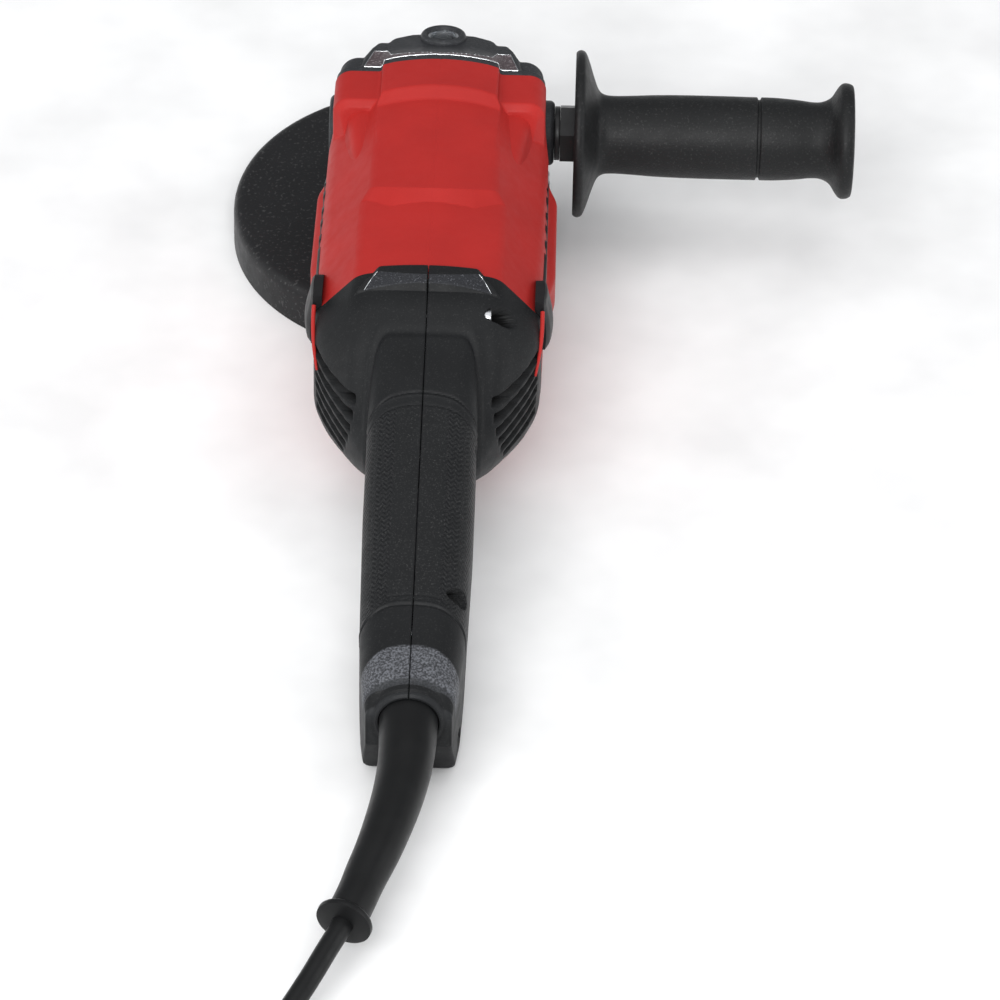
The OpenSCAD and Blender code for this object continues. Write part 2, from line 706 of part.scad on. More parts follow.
band_t = 2;
band_z = [10, 17.5];
ear_y = 2.5;
lever_hub = [46, 12];
module guard_clamp_band() color(steel) difference() {
    union() {
        tube_z(collar_out + band_t, collar_out, band_z[0], band_z[1]);
        for (s = [-1, 1]) block(collar_out + 0.5, 50, s > 0 ? ear_y : -ear_y - 3, s > 0 ? ear_y + 3 : -ear_y,
            band_z[0], band_z[1]);
        block(40, 50, ear_y, lever_hub[1], band_z[0], band_z[0] + 2);
        translate([lever_hub[0], lever_hub[1], band_z[0]]) cylinder(r = 4.5, h = 2);
        translate([lever_hub[0], lever_hub[1], band_z[0]]) cylinder(r = 2.2, h = 7.5);
    }
    block(30, 38, -ear_y, ear_y, 0, 30);
    along_y(2.6, -10, 8, 42, 14);
}
module guard_clamp_bolt() color(steel) {
    along_y(2.5, -8, ear_y + 4.5, 42, 14);
    translate([42, -8, 14]) rotate([90, 0, 0]) cylinder(r = 4.2, h = 3, $fn = 6);
}
module guard_lever() color(steel) difference() {
    hull() {
        translate([lever_hub[0], lever_hub[1], 12.3]) cylinder(r = 4.2, h = 5, $fn = 32);
        translate([lever_hub[0] - 7, lever_hub[1] + 14.5, 12.3]) cylinder(r = 4, h = 5, $fn = 32);
        translate([lever_hub[0] - 19.3, lever_hub[1] + 23, 12.3]) cylinder(r = 4.2, h = 5, $fn = 32);
    }
    translate([lever_hub[0], lever_hub[1], 0]) cylinder(r = 2.25, h = 30);
}

// ---------- spindle lock ----------

module lock_button() color(black) {
    along_y(8.1, lock_face_y - 3, lock_face_y + lock_travel + 1, 0, lock_z);
    along_y(3, 31.4 + lock_travel, lock_face_y - 2, 0, lock_z);
}
module lock_spring() color(steel) translate([0, lock_face_y - 9.8, lock_z]) rotate([-90, 0, 0])
    spring(5.2, 0.5, 2.2, 2);

// ---------- side handle ----------

washer_x = [boss_face_x + 0.1, boss_face_x + 2.6];
hex_x = [washer_x[1] + 0.1, flange_x - 0.4];
module along_handle() {
    translate([0, 0, handle_bore_z]) rotate([0, 90, 0]) children();
}
module side_grip() color(black) along_handle() difference() {
    rotate_extrude() polygon(concat(
        [[0, flange_x]],
        [[flange_r - 1.5, flange_x]],
        curve([[flange_r, flange_x + 1.5], [flange_r - 1, flange_x + 3.2], [28, flange_x + 5],
            [20.5, flange_x + 8.5], [17.6, flange_x + 14], [17.8, flange_x + 28], [19.2, flange_x + 52],
            [19.2, flange_x + 84]], 3),
        [[17.7, flange_x + 85.3]],
        curve([[19.2, flange_x + 86.6], [18.7, flange_x + 102], [17.4, flange_x + 114], [20, flange_x + 119.5],
            [26, flange_x + 123.4], [26.8, flange_x + 125.4], [25, flange_x + 128], [14, flange_x + 129.4],
            [0, flange_x + 129.6]], 3)));
    translate([0, 0, flange_x - 1]) cylinder(r = m14_minor_r, h = 42);
}
module handle_stud() color(steel) along_handle() {
    translate([0, 0, boss_face_x - m14_depth + 0.4]) cylinder(r = m14_minor_r, h = 64);
    translate([0, 0, hex_x[0]]) cylinder(r = 14.4, h = hex_x[1] - hex_x[0], $fn = 6);
}
module handle_washer() color(steel) along_handle() difference() {
    translate([0, 0, washer_x[0]]) cylinder(r = 12.5, h = washer_x[1] - washer_x[0]);
    translate([0, 0, 0]) cylinder(r = m14_minor_r + 0.3, h = 100);
}

// ---------- trigger and switch ----------

module trigger() color(black) on_handle() difference() {
    union() {
        difference() {
            block(-10.5, 10.5, -82, 2, -9, 4);
            block(-8.3, 8.3, -79.5, -10, -6.5, 20);
        }
        block(-4, 4, plunger_y - 1.5, plunger_y + 1.5, -8, 4.6);
        along_x(4, -10.5, 10.5, pivot[1], pivot[2]);
    }
    along_x(2.05, -12, 12, pivot[1], pivot[2]);
    // Slot of the lock-off slider.
    block(-3.3, 3.3, -35.6, -24.7, -12, 0);
    // Finger ridges.
    for (k = [0:2]) translate([0, -50 - 8 * k, -9]) rotate([0, 90, 0]) translate([0, 0, -20]) cylinder(r = 1, h = 40);
}
module trigger_pin() color(steel) on_handle() along_x(2, -14.5, 14.5, pivot[1], pivot[2]);
module trigger_spring() color(steel) on_handle() translate([0, -71.5, 4.6]) spring(4.2, 0.5, 10.2, 5);
module lock_off_slider() color(red) on_handle() {
    block(-5, 5, -33, -22, -11.3, -9.3);
    block(-3, 3, -31, -25, -9.4, -6);
    block(-4.6, 4.6, -32.5, -23.5, -6.2, -4.6);
}
module switch_module() color([0.16, 0.17, 0.2]) on_handle() difference() {
    block(-12, 12, -62, -20, 16, 38);
    translate([0, plunger_y, 10]) cylinder(r = 2.55, h = 17.8);
}
module switch_plunger() color([0.85, 0.85, 0.82]) on_handle() translate([0, plunger_y, 5.2]) cylinder(r = 2.5, h = 16.5);
module soft_start_module() color([0.2, 0.22, 0.28]) block(-17, 17, -232, -202, 42, 66);

module cable_clamp() color(black) difference() {
    block(4.2, 9, -361.5, -352.5, 7, 43);
    for (z = [12, 38]) along_x(2.1, 0, 20, -357, z);
}
module cable_clamp_screws() color(steel) for (z = [12, 38])
    translate([9, -357, z]) rotate([0, 90, 0]) screw(1.55, 22, 3.5, 2.4);

// ---------- power cord ----------

cord_r = cord_d / 2;
coil_centre = [-8, -680];
coil_rows = 4;
coil_columns = 3;
turn_pitch = cord_d * 1.01;
coil_mean_r = coil_mean_d / 2;
coil_out = coil_mean_r + turn_pitch + cord_r;
coil_in = coil_mean_r - turn_pitch - cord_r;
coil_top = floor_z + cord_d + (coil_rows - 1) * turn_pitch;
cord_rest_z = floor_z + cord_r;
plug_x = 74;
plug_y = -752;
plug_z = floor_z + 18.5;

// The route of the cord, from the clamp in the handle to the coil on the floor.
cord_route = [[0, -350, 23], [0, -372, 22.5], [0, -396, 22], [0, -412, 20.8], [-1, -426, 19], [-3, -440, 18],
    [-6, -455, 17], [-9.5, -469, 15.5], [-13.5, -482, 14], [-17.5, -496, 12.5], [-22, -509, 10.5],
    [-27.5, -521, 8], [-33, -533, 5], [-39, -545, 2], [-47, -560, -2], [-55, -577, -5.5], [-62, -596, -7.2],
    [-67, -618, cord_rest_z], [-70, -645, cord_rest_z], [-71, -668, cord_rest_z]];
cord_path = curve(cord_route, 2);
sleeve_last = 10;
sleeve_path = curve([for (i = [2:sleeve_last]) cord_route[i]], 3);
sleeve_r0 = 12.3;
sleeve_r1 = 8.6;

// The route of the free end, from the top of the coil down to the plug.
tail_route = [[-30, -724, coil_top + cord_r], [-14, -735, coil_top + cord_r], [4, -743, 22], [22, -748, 15],
    [40, -751, 9], [57, plug_y, 6.8], [plug_x, plug_y, plug_z]];

module cable_sleeve() color(black) difference() {
    n = len(sleeve_path) - 1;
    union() {
        sweep(sleeve_path, [for (i = [0:n]) i > n - 3 ? 11.8 - (i == n - 2 ? 3 : 0) : sleeve_r0 + (sleeve_r1 - sleeve_r0) * i / n], 24);
        along_y(sleeve_r0, -398, -380, mouth[0], mouth[2]);
        along_y(15, sleeve_groove_y[0] + 0.1, sleeve_groove_y[1] - 0.1, mouth[0], mouth[2]);
    }
    sweep(cord_path, [for (p = cord_path) cord_r], 10);
}
module power_cord() color(black) sweep(cord_path, [for (p = cord_path) cord_r], 10);
module cord_coil() color(black) translate([coil_centre[0], coil_centre[1], 0]) rotate_extrude() polygon([
    [coil_in, floor_z + 3], [coil_in + 3, floor_z], [coil_out - 3, floor_z], [coil_out, floor_z + 3],
    [coil_out, coil_top - 3], [coil_out - 3, coil_top], [coil_in + 3, coil_top], [coil_in, coil_top - 3]]);
module cord_tail() color(black) {
    path = curve(tail_route, 2);
    sweep(path, [for (p = path) cord_r], 10);
}

pin_r = 2.4;
pin_spacing = 19;
plug_face_x = plug_x + 44;
module plug_body() color(black) translate([plug_x, plug_y, plug_z]) rotate([0, 90, 0]) rotate_extrude() polygon([
    [0, 0], [6.5, 0], [7.5, 4], [9, 12], [13, 18], [17, 21], [18.5, 24], [18.5, 43], [17.5, 44], [0, 44]]);
module plug_pins() color(steel) for (s = [-1, 1])
    along_x(pin_r, plug_face_x, plug_face_x + 19, plug_y + s * pin_spacing / 2, plug_z);

motor_housing();
side_panel_left();
side_panel_right();
gear_housing();
bearing_cover();
gear_housing_screws();
bearing_cover_screws();
rear_shell_left();
rear_shell_right();
shell_screws();
front_armature_bearing();
rear_armature_bearing();
rear_bearing_sleeve();
air_baffle();
stator_core();
stator_coils();
brush_holders();
carbon_brushes();
brush_springs();
armature_shaft();
armature_core();
armature_windings();
commutator();
cooling_fan();
pinion();
pinion_nut();
spindle();
crown_wheel();
wheel_circlip();
disc_flange();
spindle_bearing();
spindle_needle_bearing();
dust_ring();
guard_hood();
guard_collar();
guard_clamp_band();
guard_clamp_bolt();
guard_lever();
lock_button();
lock_spring();
side_grip();
handle_stud();
handle_washer();
trigger();
trigger_pin();
trigger_spring();
lock_off_slider();
switch_module();
switch_plunger();
soft_start_module();
cable_clamp();
cable_clamp_screws();
cable_sleeve();
power_cord();
cord_coil();
cord_tail();
plug_body();
plug_pins();
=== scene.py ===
"""Looks of the angle grinder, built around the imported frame. Lengths are millimetres until a mesh is made."""
import json
import math

import bpy
import numpy as np
from mathutils import Matrix, Vector


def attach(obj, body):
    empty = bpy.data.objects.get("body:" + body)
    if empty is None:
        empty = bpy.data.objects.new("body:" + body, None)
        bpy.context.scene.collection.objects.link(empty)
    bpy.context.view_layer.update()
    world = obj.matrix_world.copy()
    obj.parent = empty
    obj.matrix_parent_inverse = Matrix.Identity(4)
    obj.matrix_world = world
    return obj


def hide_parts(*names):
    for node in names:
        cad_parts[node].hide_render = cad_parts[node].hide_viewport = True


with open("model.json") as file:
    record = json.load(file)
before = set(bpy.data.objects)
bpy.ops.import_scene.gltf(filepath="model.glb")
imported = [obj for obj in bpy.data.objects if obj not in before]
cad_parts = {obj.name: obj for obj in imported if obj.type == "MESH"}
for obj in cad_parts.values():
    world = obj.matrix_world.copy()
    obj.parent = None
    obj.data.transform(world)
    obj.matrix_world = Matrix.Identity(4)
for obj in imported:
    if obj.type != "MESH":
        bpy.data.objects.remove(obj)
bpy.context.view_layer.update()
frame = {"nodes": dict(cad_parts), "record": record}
MM = 0.001
FLOOR_Z = -12.0


# ---------- small maths ----------

def at(y, *pairs):
    """A value that runs straight between (y, value) pairs, listed from the front back."""
    return np.interp(-np.asarray(y, float), [-p[0] for p in pairs], [p[1] for p in pairs])


def soft_at(y, reach, *pairs):
    """The same, with its corners rounded over reach on both sides."""
    return sum(at(y + reach * k / 2, *pairs) for k in (-2, -1, 0, 1, 2)) / 5


def step(a, b, t):
    """0 before a, 1 after b, and smooth between them. b may be less than a."""
    u = np.clip((np.asarray(t, float) - a) / (b - a), 0, 1)
    return u * u * (3 - 2 * u)


def hat(t, a, b, c, d):
    return step(a, b, t) * (1 - step(c, d, t))


def smax(a, b, k):
    """The larger of two distances, with an edge rounded over k."""
    h = np.maximum(k - np.abs(a - b), 0) / k
    return np.maximum(a, b) + h * h * k / 4


def smin(a, b, k):
    return -smax(-a, -b, k)


def ridge(t, width):
    return np.exp(-(t / width) ** 2)


def corner(u, v, r):
    """Distance to a rounded corner: u and v grow outwards from its centre."""
    return np.hypot(np.maximum(u, 0), np.maximum(v, 0)) - r


def spline(points, steps):
    """A Catmull-Rom curve through points."""
    p = np.array(points, float)
    out = []
    last = len(p) - 1
    for i in range(last):
        a, b, c, d = p[max(i - 1, 0)], p[i], p[i + 1], p[min(i + 2, last)]
        for j in range(steps):
            t = j / steps
            out.append(0.5 * (2 * b + (c - a) * t + (2 * a - 5 * b + 4 * c - d) * t ** 2
                              + (3 * b - a - 3 * c + d) * t ** 3))
    return np.array(out + [p[last]])


# ---------- materials ----------

def new_material(name):
    """A material, and two helpers: put fills a node's sockets, add makes a node and gives its output."""
    mat = bpy.data.materials.new(name)
    mat.use_nodes = True
    tree = mat.node_tree

    def put(node, sockets):
        for key, value in sockets.items():
            if isinstance(value, bpy.types.NodeSocket):
                tree.links.new(value, node.inputs[key])
            else:
                node.inputs[key].default_value = value

    def add(kind, output, sockets, **settings):
        node = tree.nodes.new("ShaderNode" + kind)
        for key, value in settings.items():
            setattr(node, key, value)
        put(node, sockets)
        return node.outputs[output]

    return mat, put, add


def shader(name, color, rough, metallic=0.0, specular=0.3, grain=0.35, bump=0.25, vary=0.12,
           speck=0.0, speck_color=(0.3, 0.3, 0.32), speck_size=0.6, masks=()):
    """A moulded, cast or sprayed surface: colour variation, uneven gloss and a fine grain, all procedural.

    grain is the grain's size in mm and bump its height; masks names the attributes painted by the mesh: real
    textures, and also a painted sheen, a painted highlight and painted shade in recesses.
    """
    mat, put, add = new_material(name)
    place = add("TexCoord", "Object", {})

    def noise(size_mm, detail=2.0):
        return add("TexNoise", "Fac", {"Scale": 1 / (size_mm * MM), "Detail": detail, "Vector": place})

    def ramp(source, low, high, a, b):
        return add("MapRange", "Result", {"From Min": low, "From Max": high, "To Min": a, "To Max": b,
                                          "Value": source})

    def mix(factor, a, b):
        a, b = ((*v, 1) if isinstance(v, tuple) else v for v in (a, b))
        return add("Mix", "Result", {"Factor": factor, "A": a, "B": b}, data_type="RGBA")

    def calc(kind, a, b=0.0):
        return add("Math", 0, {0: a, 1: b}, operation=kind)

    def raised(height, shape, amount, here):
        """height with shape added where the mask is."""
        return calc("ADD", height, calc("MULTIPLY", calc("MULTIPLY", shape, amount), here))

    c = np.array(color)
    broad = ramp(noise(22.0, 4.0), 0.35, 0.65, 0.0, 1.0)
    tone = mix(broad, tuple(c * (1 - vary)), tuple(np.minimum(c * (1 + vary), 1)))
    height = noise(grain, 3.0)
    tone = mix(ramp(height, 0.3, 0.7, 0.0, 0.5), tone, tuple(c * 0.75))
    gloss = ramp(noise(6.0, 3.0), 0.3, 0.7, max(rough - 0.05, 0.03), rough + 0.06)
    if speck:
        # Sparse light specks, as on spark-eroded or sprayed surfaces.
        dots = ramp(noise(speck_size, 1.0), 0.60, 0.72, 0.0, speck)
        tone = mix(dots, tone, speck_color)
    for kind in masks:
        here = add("Attribute", "Fac", {}, attribute_name=kind)
        if kind == "coarse":
            coarse = noise(0.75)
            tone = mix(calc("MULTIPLY", ramp(coarse, 0.58, 0.75, 0.0, 0.55), here), tone, (0.06, 0.06, 0.06))
            height = raised(height, coarse, 2.6, here)
        elif kind == "braid":
            # Chevrons in narrow columns that run along Y.
            place_x, place_y = (add("SeparateXYZ", axis, {"Vector": place}) for axis in "XY")
            zigzag = calc("PINGPONG", place_x, 1.5 * MM)
            along = calc("ADD", place_y, calc("MULTIPLY", zigzag, 1.1))
            wave = calc("SINE", calc("MULTIPLY", along, 2 * math.pi / (2.3 * MM)))
            height = raised(height, wave, 2.2, here)
        elif kind == "painted_recess_shade":
            # Painted shade: near-black colour in the recesses and gills, which are also made rough.
            tone = mix(here, tone, (0.0012, 0.0012, 0.0013))
            gloss = calc("MAXIMUM", gloss, calc("MULTIPLY", here, 0.95))
        elif kind == "painted_sheen":
            # Painted sheen: lighter grey specks mixed into the colour where the mask is, over a real coarse
            # grain that is also raised.
            coarse = noise(0.9)
            tone = mix(calc("MULTIPLY", ramp(coarse, 0.40, 0.64, 0.2, 0.95), here), tone, (0.13, 0.135, 0.15))
            height = raised(height, coarse, 3.0, here)
        elif kind == "light":
            # Painted highlight: a lighter copy of the colour where the mask is.
            tone = mix(calc("MULTIPLY", here, 0.75), tone, tuple(np.minimum(c * 2.6, 1)))
    normal = add("Bump", "Normal", {"Strength": min(bump * 2, 1.0), "Distance": bump * grain * 0.5 * MM,
                                    "Height": height})
    put(mat.node_tree.nodes["Principled BSDF"],
        {"Metallic": metallic, "Specular IOR Level": specular, "Base Color": tone, "Roughness": gloss,
         "Normal": normal})
    return mat


def steel_shader(name, color, rough, stretch=(1, 1, 12), size=0.5):
    """Machined or plated metal, with fine drawn-out marks and darker stains."""
    mat, put, add = new_material(name)
    place = add("TexCoord", "Object", {})
    drawn = add("Mapping", "Vector", {"Scale": stretch, "Vector": place})
    marks = add("TexNoise", "Fac", {"Scale": 1 / (size * MM), "Detail": 3, "Vector": drawn})
    stains = add("TexNoise", "Fac", {"Scale": 1 / (7 * MM), "Detail": 5, "Vector": place})
    tint = add("Mix", "Result", {"Factor": stains, "A": (*[v * 0.72 for v in color], 1), "B": (*color, 1)},
               data_type="RGBA")
    gloss = add("MapRange", "Result",
                {"To Min": max(rough - 0.08, 0.05), "To Max": rough + 0.12, "Value": marks})
    normal = add("Bump", "Normal", {"Strength": 0.35, "Distance": 0.04 * MM, "Height": marks})
    put(mat.node_tree.nodes["Principled BSDF"],
        {"Metallic": 1.0, "Base Color": tint, "Roughness": gloss, "Normal": normal})
    return mat


RED = shader("red_plastic", (0.40, 0.0205, 0.0175), 0.50, specular=0.18, grain=0.30, bump=0.16, vary=0.05)
BLACK = shader("black_nylon", (0.0092, 0.0098, 0.0106), 0.50, specular=0.17, grain=0.45, bump=0.35, vary=0.10,
               speck=0.25, speck_color=(0.05, 0.05, 0.05), speck_size=0.8,
               masks=("coarse", "braid", "painted_sheen", "light", "painted_recess_shade"))
PANEL = shader("panel_black", (0.010, 0.010, 0.011), 0.42, specular=0.18, grain=0.5, bump=0.2)
CASTING = shader("charcoal_casting", (0.030, 0.0315, 0.0345), 0.46, metallic=0.1, specular=0.25, grain=0.8,
                 bump=0.5, vary=0.15, speck=0.5, speck_color=(0.09, 0.09, 0.10), speck_size=0.9)
GUARD = shader("guard_coat", (0.0135, 0.0135, 0.0145), 0.42, specular=0.17, grain=1.2, bump=0.18, vary=0.12,
               speck=0.5, speck_color=(0.07, 0.07, 0.07), speck_size=1.6)
HANDLE = shader("side_handle_nylon", (0.0105, 0.011, 0.0115), 0.46, specular=0.2, grain=0.7, bump=0.5,
                vary=0.12, speck=0.35, speck_color=(0.055, 0.055, 0.055), speck_size=1.0)
RUBBER = shader("cord_rubber", (0.0080, 0.0083, 0.0087), 0.40, specular=0.16, grain=0.5, bump=0.10, vary=0.12)
INLAY = shader("inlay_sparkle", (0.085, 0.060, 0.065), 0.42, metallic=0.3, specular=0.5, grain=0.7, bump=1.0,
               vary=0.1, speck=1.0, speck_color=(0.42, 0.36, 0.38), speck_size=0.9)
LIP = shader("lip_sparkle", (0.015, 0.016, 0.0195), 0.40, metallic=0.1, specular=0.25, grain=0.6, bump=0.9,
             vary=0.1, speck=0.9, speck_color=(0.07, 0.073, 0.082), speck_size=0.7)
SILVER = steel_shader("bright_edge", (0.72, 0.74, 0.76), 0.22)
ZINC = steel_shader("zinc", (0.60, 0.61, 0.63), 0.28)
GROUND = steel_shader("ground_steel", (0.48, 0.49, 0.51), 0.22)
CORE = steel_shader("lamination_steel", (0.30, 0.30, 0.32), 0.4, stretch=(1, 14, 1))
COPPER = steel_shader("copper_wire", (0.80, 0.36, 0.16), 0.3, stretch=(1, 8, 1), size=0.8)
BRASS = steel_shader("brass", (0.80, 0.60, 0.26), 0.3)
COATED = shader("black_steel", (0.018, 0.018, 0.019), 0.38, metallic=0.4, specular=0.5, grain=0.9, bump=0.2)
SLOT_LOOKS = {
    "red_housing": RED, "black_plastic": BLACK, "cord_rubber": RUBBER, "gear_casting": CASTING,
    "guard_steel": COATED, "zinc_steel": ZINC, "gear_steel": GROUND, "laminations": CORE, "copper": COPPER,
    "brass_parts": BRASS,
    "grey_plastic": shader("grey_plastic", (0.045, 0.048, 0.058), 0.5, grain=0.5, bump=0.2),
    "carbon": shader("carbon", (0.020, 0.020, 0.022), 0.6, metallic=0.3, grain=0.3, bump=0.3),
    "fan_plastic": shader("fan_plastic", (0.60, 0.56, 0.44), 0.5, grain=0.6, bump=0.15),
    "plunger_plastic": shader("plunger_plastic", (0.66, 0.66, 0.62), 0.4, grain=0.5, bump=0.08),
    "slider_red": RED,
}


# ---------- mesh making ----------

def piece(name, shape, mat, replaced=(), angle=35, body="housing", normals=None, paint=None):
    """A mesh object from (verts, faces) in mm. normals are per corner, paint is {attribute: vertex values}."""
    verts, faces = shape
    mesh = bpy.data.meshes.new(name)
    mesh.from_pydata((np.asarray(verts, float) * MM).tolist(), [], [list(map(int, f)) for f in faces])
    mesh.materials.append(mat)
    for key, values in (paint or {}).items():
        mesh.attributes.new(key, "FLOAT", "POINT").data.foreach_set("value", np.asarray(values, np.float32))
    mesh.shade_smooth()
    if normals is None:
        mesh.set_sharp_from_angle(angle=math.radians(angle))
    else:
        mesh.normals_split_custom_set(normals.tolist())
    mesh.update()
    obj = bpy.data.objects.new(name, mesh)
    bpy.context.scene.collection.objects.link(obj)
    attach(obj, body)
    if replaced:
        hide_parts(*replaced)
    return obj


def quads(rows, cols, wrap_rows=False, wrap_cols=False, start=0):
    """Faces of a grid whose vertex (i, j) is start + i * cols + j."""
    i = np.arange(rows if wrap_rows else rows - 1)
    j = np.arange(cols if wrap_cols else cols - 1)
    i, j = np.meshgrid(i, j, indexing="ij")
    i2, j2 = (i + 1) % rows, (j + 1) % cols
    return (start + np.stack([i * cols + j, i * cols + j2, i2 * cols + j2, i2 * cols + j], -1)).reshape(-1, 4)


def lathe_grid(profile, count, centre=(0, 0), start=0.0, sweep=360.0):
    """Rings of a closed (radius, height) profile turned about +Z at centre."""
    full = abs(sweep - 360) < 1e-6
    angles = np.radians(start + sweep * np.arange(count) / (count if full else count - 1))
    p = np.array(profile, float)
    v = np.stack([np.outer(np.cos(angles), p[:, 0]) + centre[0],
                  np.outer(np.sin(angles), p[:, 0]) + centre[1],
                  np.tile(p[:, 1], (len(angles), 1))], -1).reshape(-1, 3)
    faces = [list(f[::-1]) for f in quads(count, len(p), wrap_rows=full, wrap_cols=True)]
    if not full:
        faces.append(list(range(len(p))))
        faces.append(list(range(count * len(p) - 1, (count - 1) * len(p) - 1, -1)))
    return v, outward(v, faces)


def outward(verts, faces):
    """Turns all faces over if the closed mesh they make is inside out."""
    v = np.asarray(verts, float)
    total = 0.0
    for f in faces:
        a = v[f[0]]
        for b, c in zip(f[1:-1], f[2:]):
            total += np.dot(a, np.cross(v[b], v[c]))
    return faces if total > 0 else [list(f)[::-1] for f in faces]


def round_profile(points, steps):
    """A closed outline of (x, y, radius) corners, each rounded by its own radius."""
    out = []
    corners = [np.array(q[:2], float) for q in points]
    for k, p in enumerate(corners):
        a, b = corners[k - 1] - p, corners[(k + 1) % len(corners)] - p
        la, lb = np.linalg.norm(a), np.linalg.norm(b)
        cut = min(points[k][2], la * 0.45, lb * 0.45)
        if cut < 1e-3:
            out.append(p)
            continue
        s, e = p + a / la * cut, p + b / lb * cut
        for t in np.arange(steps + 1) / steps:
            out.append((1 - t) ** 2 * s + 2 * t * (1 - t) * p + t * t * e)
    return out


def turn_to(verts, axis, offset):
    """Moves lathe vertices from +Z to +X ("x"), -X ("-x") or +Y ("y"), then shifts them."""
    x, y, z = np.asarray(verts, float).T
    made = {"x": (z, y, -x), "-x": (-z, y, x), "y": (x, z, -y)}[axis]
    return np.stack(made, -1) + np.array(offset, float)


def sweep_tube(path, radii, sides=32, bore=None):
    """A tube with one radius for each point of path; with bore it is hollow, else it has end caps."""
    n = len(path)
    a = 2 * np.pi * np.arange(sides) / sides
    rounds = []
    for i in range(n):
        d = path[min(i + 1, n - 1)] - path[max(i - 1, 0)]
        d /= np.linalg.norm(d)
        side = np.cross(d, (0, 0, 1))
        side /= np.linalg.norm(side)
        rounds.append(np.outer(np.cos(a), side) + np.outer(np.sin(a), np.cross(side, d)))
    rings = [path[i] + radii[i] * rounds[i] for i in range(n)]
    if bore is None:
        v = np.concatenate(rings)
        faces = quads(n, sides, wrap_cols=True).tolist()
        return v, outward(v, faces + [list(range(sides))[::-1], list(range((n - 1) * sides, n * sides))])
    rings += [path[i] + bore * rounds[i] for i in range(n)[::-1]]
    v = np.concatenate(rings)
    return v, outward(v, quads(2 * n, sides, wrap_rows=True, wrap_cols=True).tolist())


def closed_sheet(top, bottom):
    """A closed mesh between two equal grids of points."""
    m, n = top.shape[:2]
    v = np.concatenate([top, bottom]).reshape(-1, 3)
    ids = np.arange(m * n).reshape(m, n)
    rim = np.concatenate([ids[0, :-1], ids[:-1, -1], ids[-1, :0:-1], ids[:0:-1, 0]])
    faces = quads(m, n).tolist() + quads(m, n, start=m * n)[:, ::-1].tolist()
    faces += [[b, a, a + m * n, b + m * n] for a, b in zip(rim, np.roll(rim, -1))]
    return v, outward(v, faces)


def turned(profile, axis, offset, steps=4):
    """A lathe part with rounded corners, turned to axis and moved to offset."""
    v, f = lathe_grid(round_profile(profile, steps), 64)
    return turn_to(v, axis, offset), f


def side_name(s):
    return "right" if s > 0 else "left"


def join_parts(parts):
    """Several (verts, faces) as one mesh."""
    faces, base = [], 0
    for v, f in parts:
        faces += [[int(i) + base for i in g] for g in f]
        base += len(v)
    return np.concatenate([v for v, _ in parts]), faces


# ---------- camera, light and floor ----------

camera = bpy.data.objects.new("camera", bpy.data.cameras.new("camera"))
camera.data.lens = 216
camera.data.sensor_width = 36
HEADING, LOOK_DOWN, ROLL = (math.radians(v) for v in (0.8723, 37.879, 1.1015))
camera.matrix_world = (
    Matrix.Translation(Vector((65.1, -2299.2, 1621.0)) * MM)
    @ Matrix.Rotation(HEADING, 4, "Z")
    @ Matrix.Rotation(math.pi / 2 - LOOK_DOWN, 4, "X")
    @ Matrix.Rotation(ROLL, 4, "Z"))
bpy.context.scene.collection.objects.link(camera)
bpy.context.scene.camera = camera
bpy.context.scene.view_settings.view_transform = "Standard"


def softbox(name, place, aim, width, height, power):
    lamp = bpy.data.lights.new(name, "AREA")
    lamp.shape = "RECTANGLE"
    lamp.size, lamp.size_y = width, height
    lamp.energy = power
    obj = bpy.data.objects.new(name, lamp)
    way = Vector(aim) - Vector(place)
    obj.matrix_world = Matrix.Translation(place) @ way.to_track_quat("-Z", "Y").to_matrix().to_4x4()
    bpy.context.scene.collection.objects.link(obj)


softbox("key", (-0.4, -2.6, 1.9), (0, -0.1, 0), 2.2, 1.4, 82)
softbox("top", (0.0, -0.5, 2.4), (0, -0.2, 0), 2.6, 2.6, 22)
softbox("left_strip", (-1.9, -0.3, 0.7), (0, -0.2, 0), 0.5, 2.2, 14)
softbox("right_strip", (2.0, -0.3, 0.7), (0, -0.2, 0), 0.5, 2.2, 14)
world = bpy.data.worlds.new("studio")
world.use_nodes = True
world.node_tree.nodes["Background"].inputs["Color"].default_value = (0.95, 0.97, 1.0, 1)
world.node_tree.nodes["Background"].inputs["Strength"].default_value = 0.34
bpy.context.scene.world = world

floor_mesh = bpy.data.meshes.new("floor")
FLOOR_HALF = 9.0
floor_mesh.from_pydata([(x * FLOOR_HALF, y * FLOOR_HALF, (FLOOR_Z - 0.05) * MM)
                        for x, y in ((-1, -1), (1, -1), (1, 1), (-1, 1))], [], [(0, 1, 2, 3)])
floor_mesh.materials.append(shader("floor", (0.93, 0.93, 0.93), 0.8, specular=0.05, grain=60, bump=0.0,
                                   vary=0.003))
floor = bpy.data.objects.new("floor", floor_mesh)
bpy.context.scene.collection.objects.link(floor)

# ---------- power cord ----------

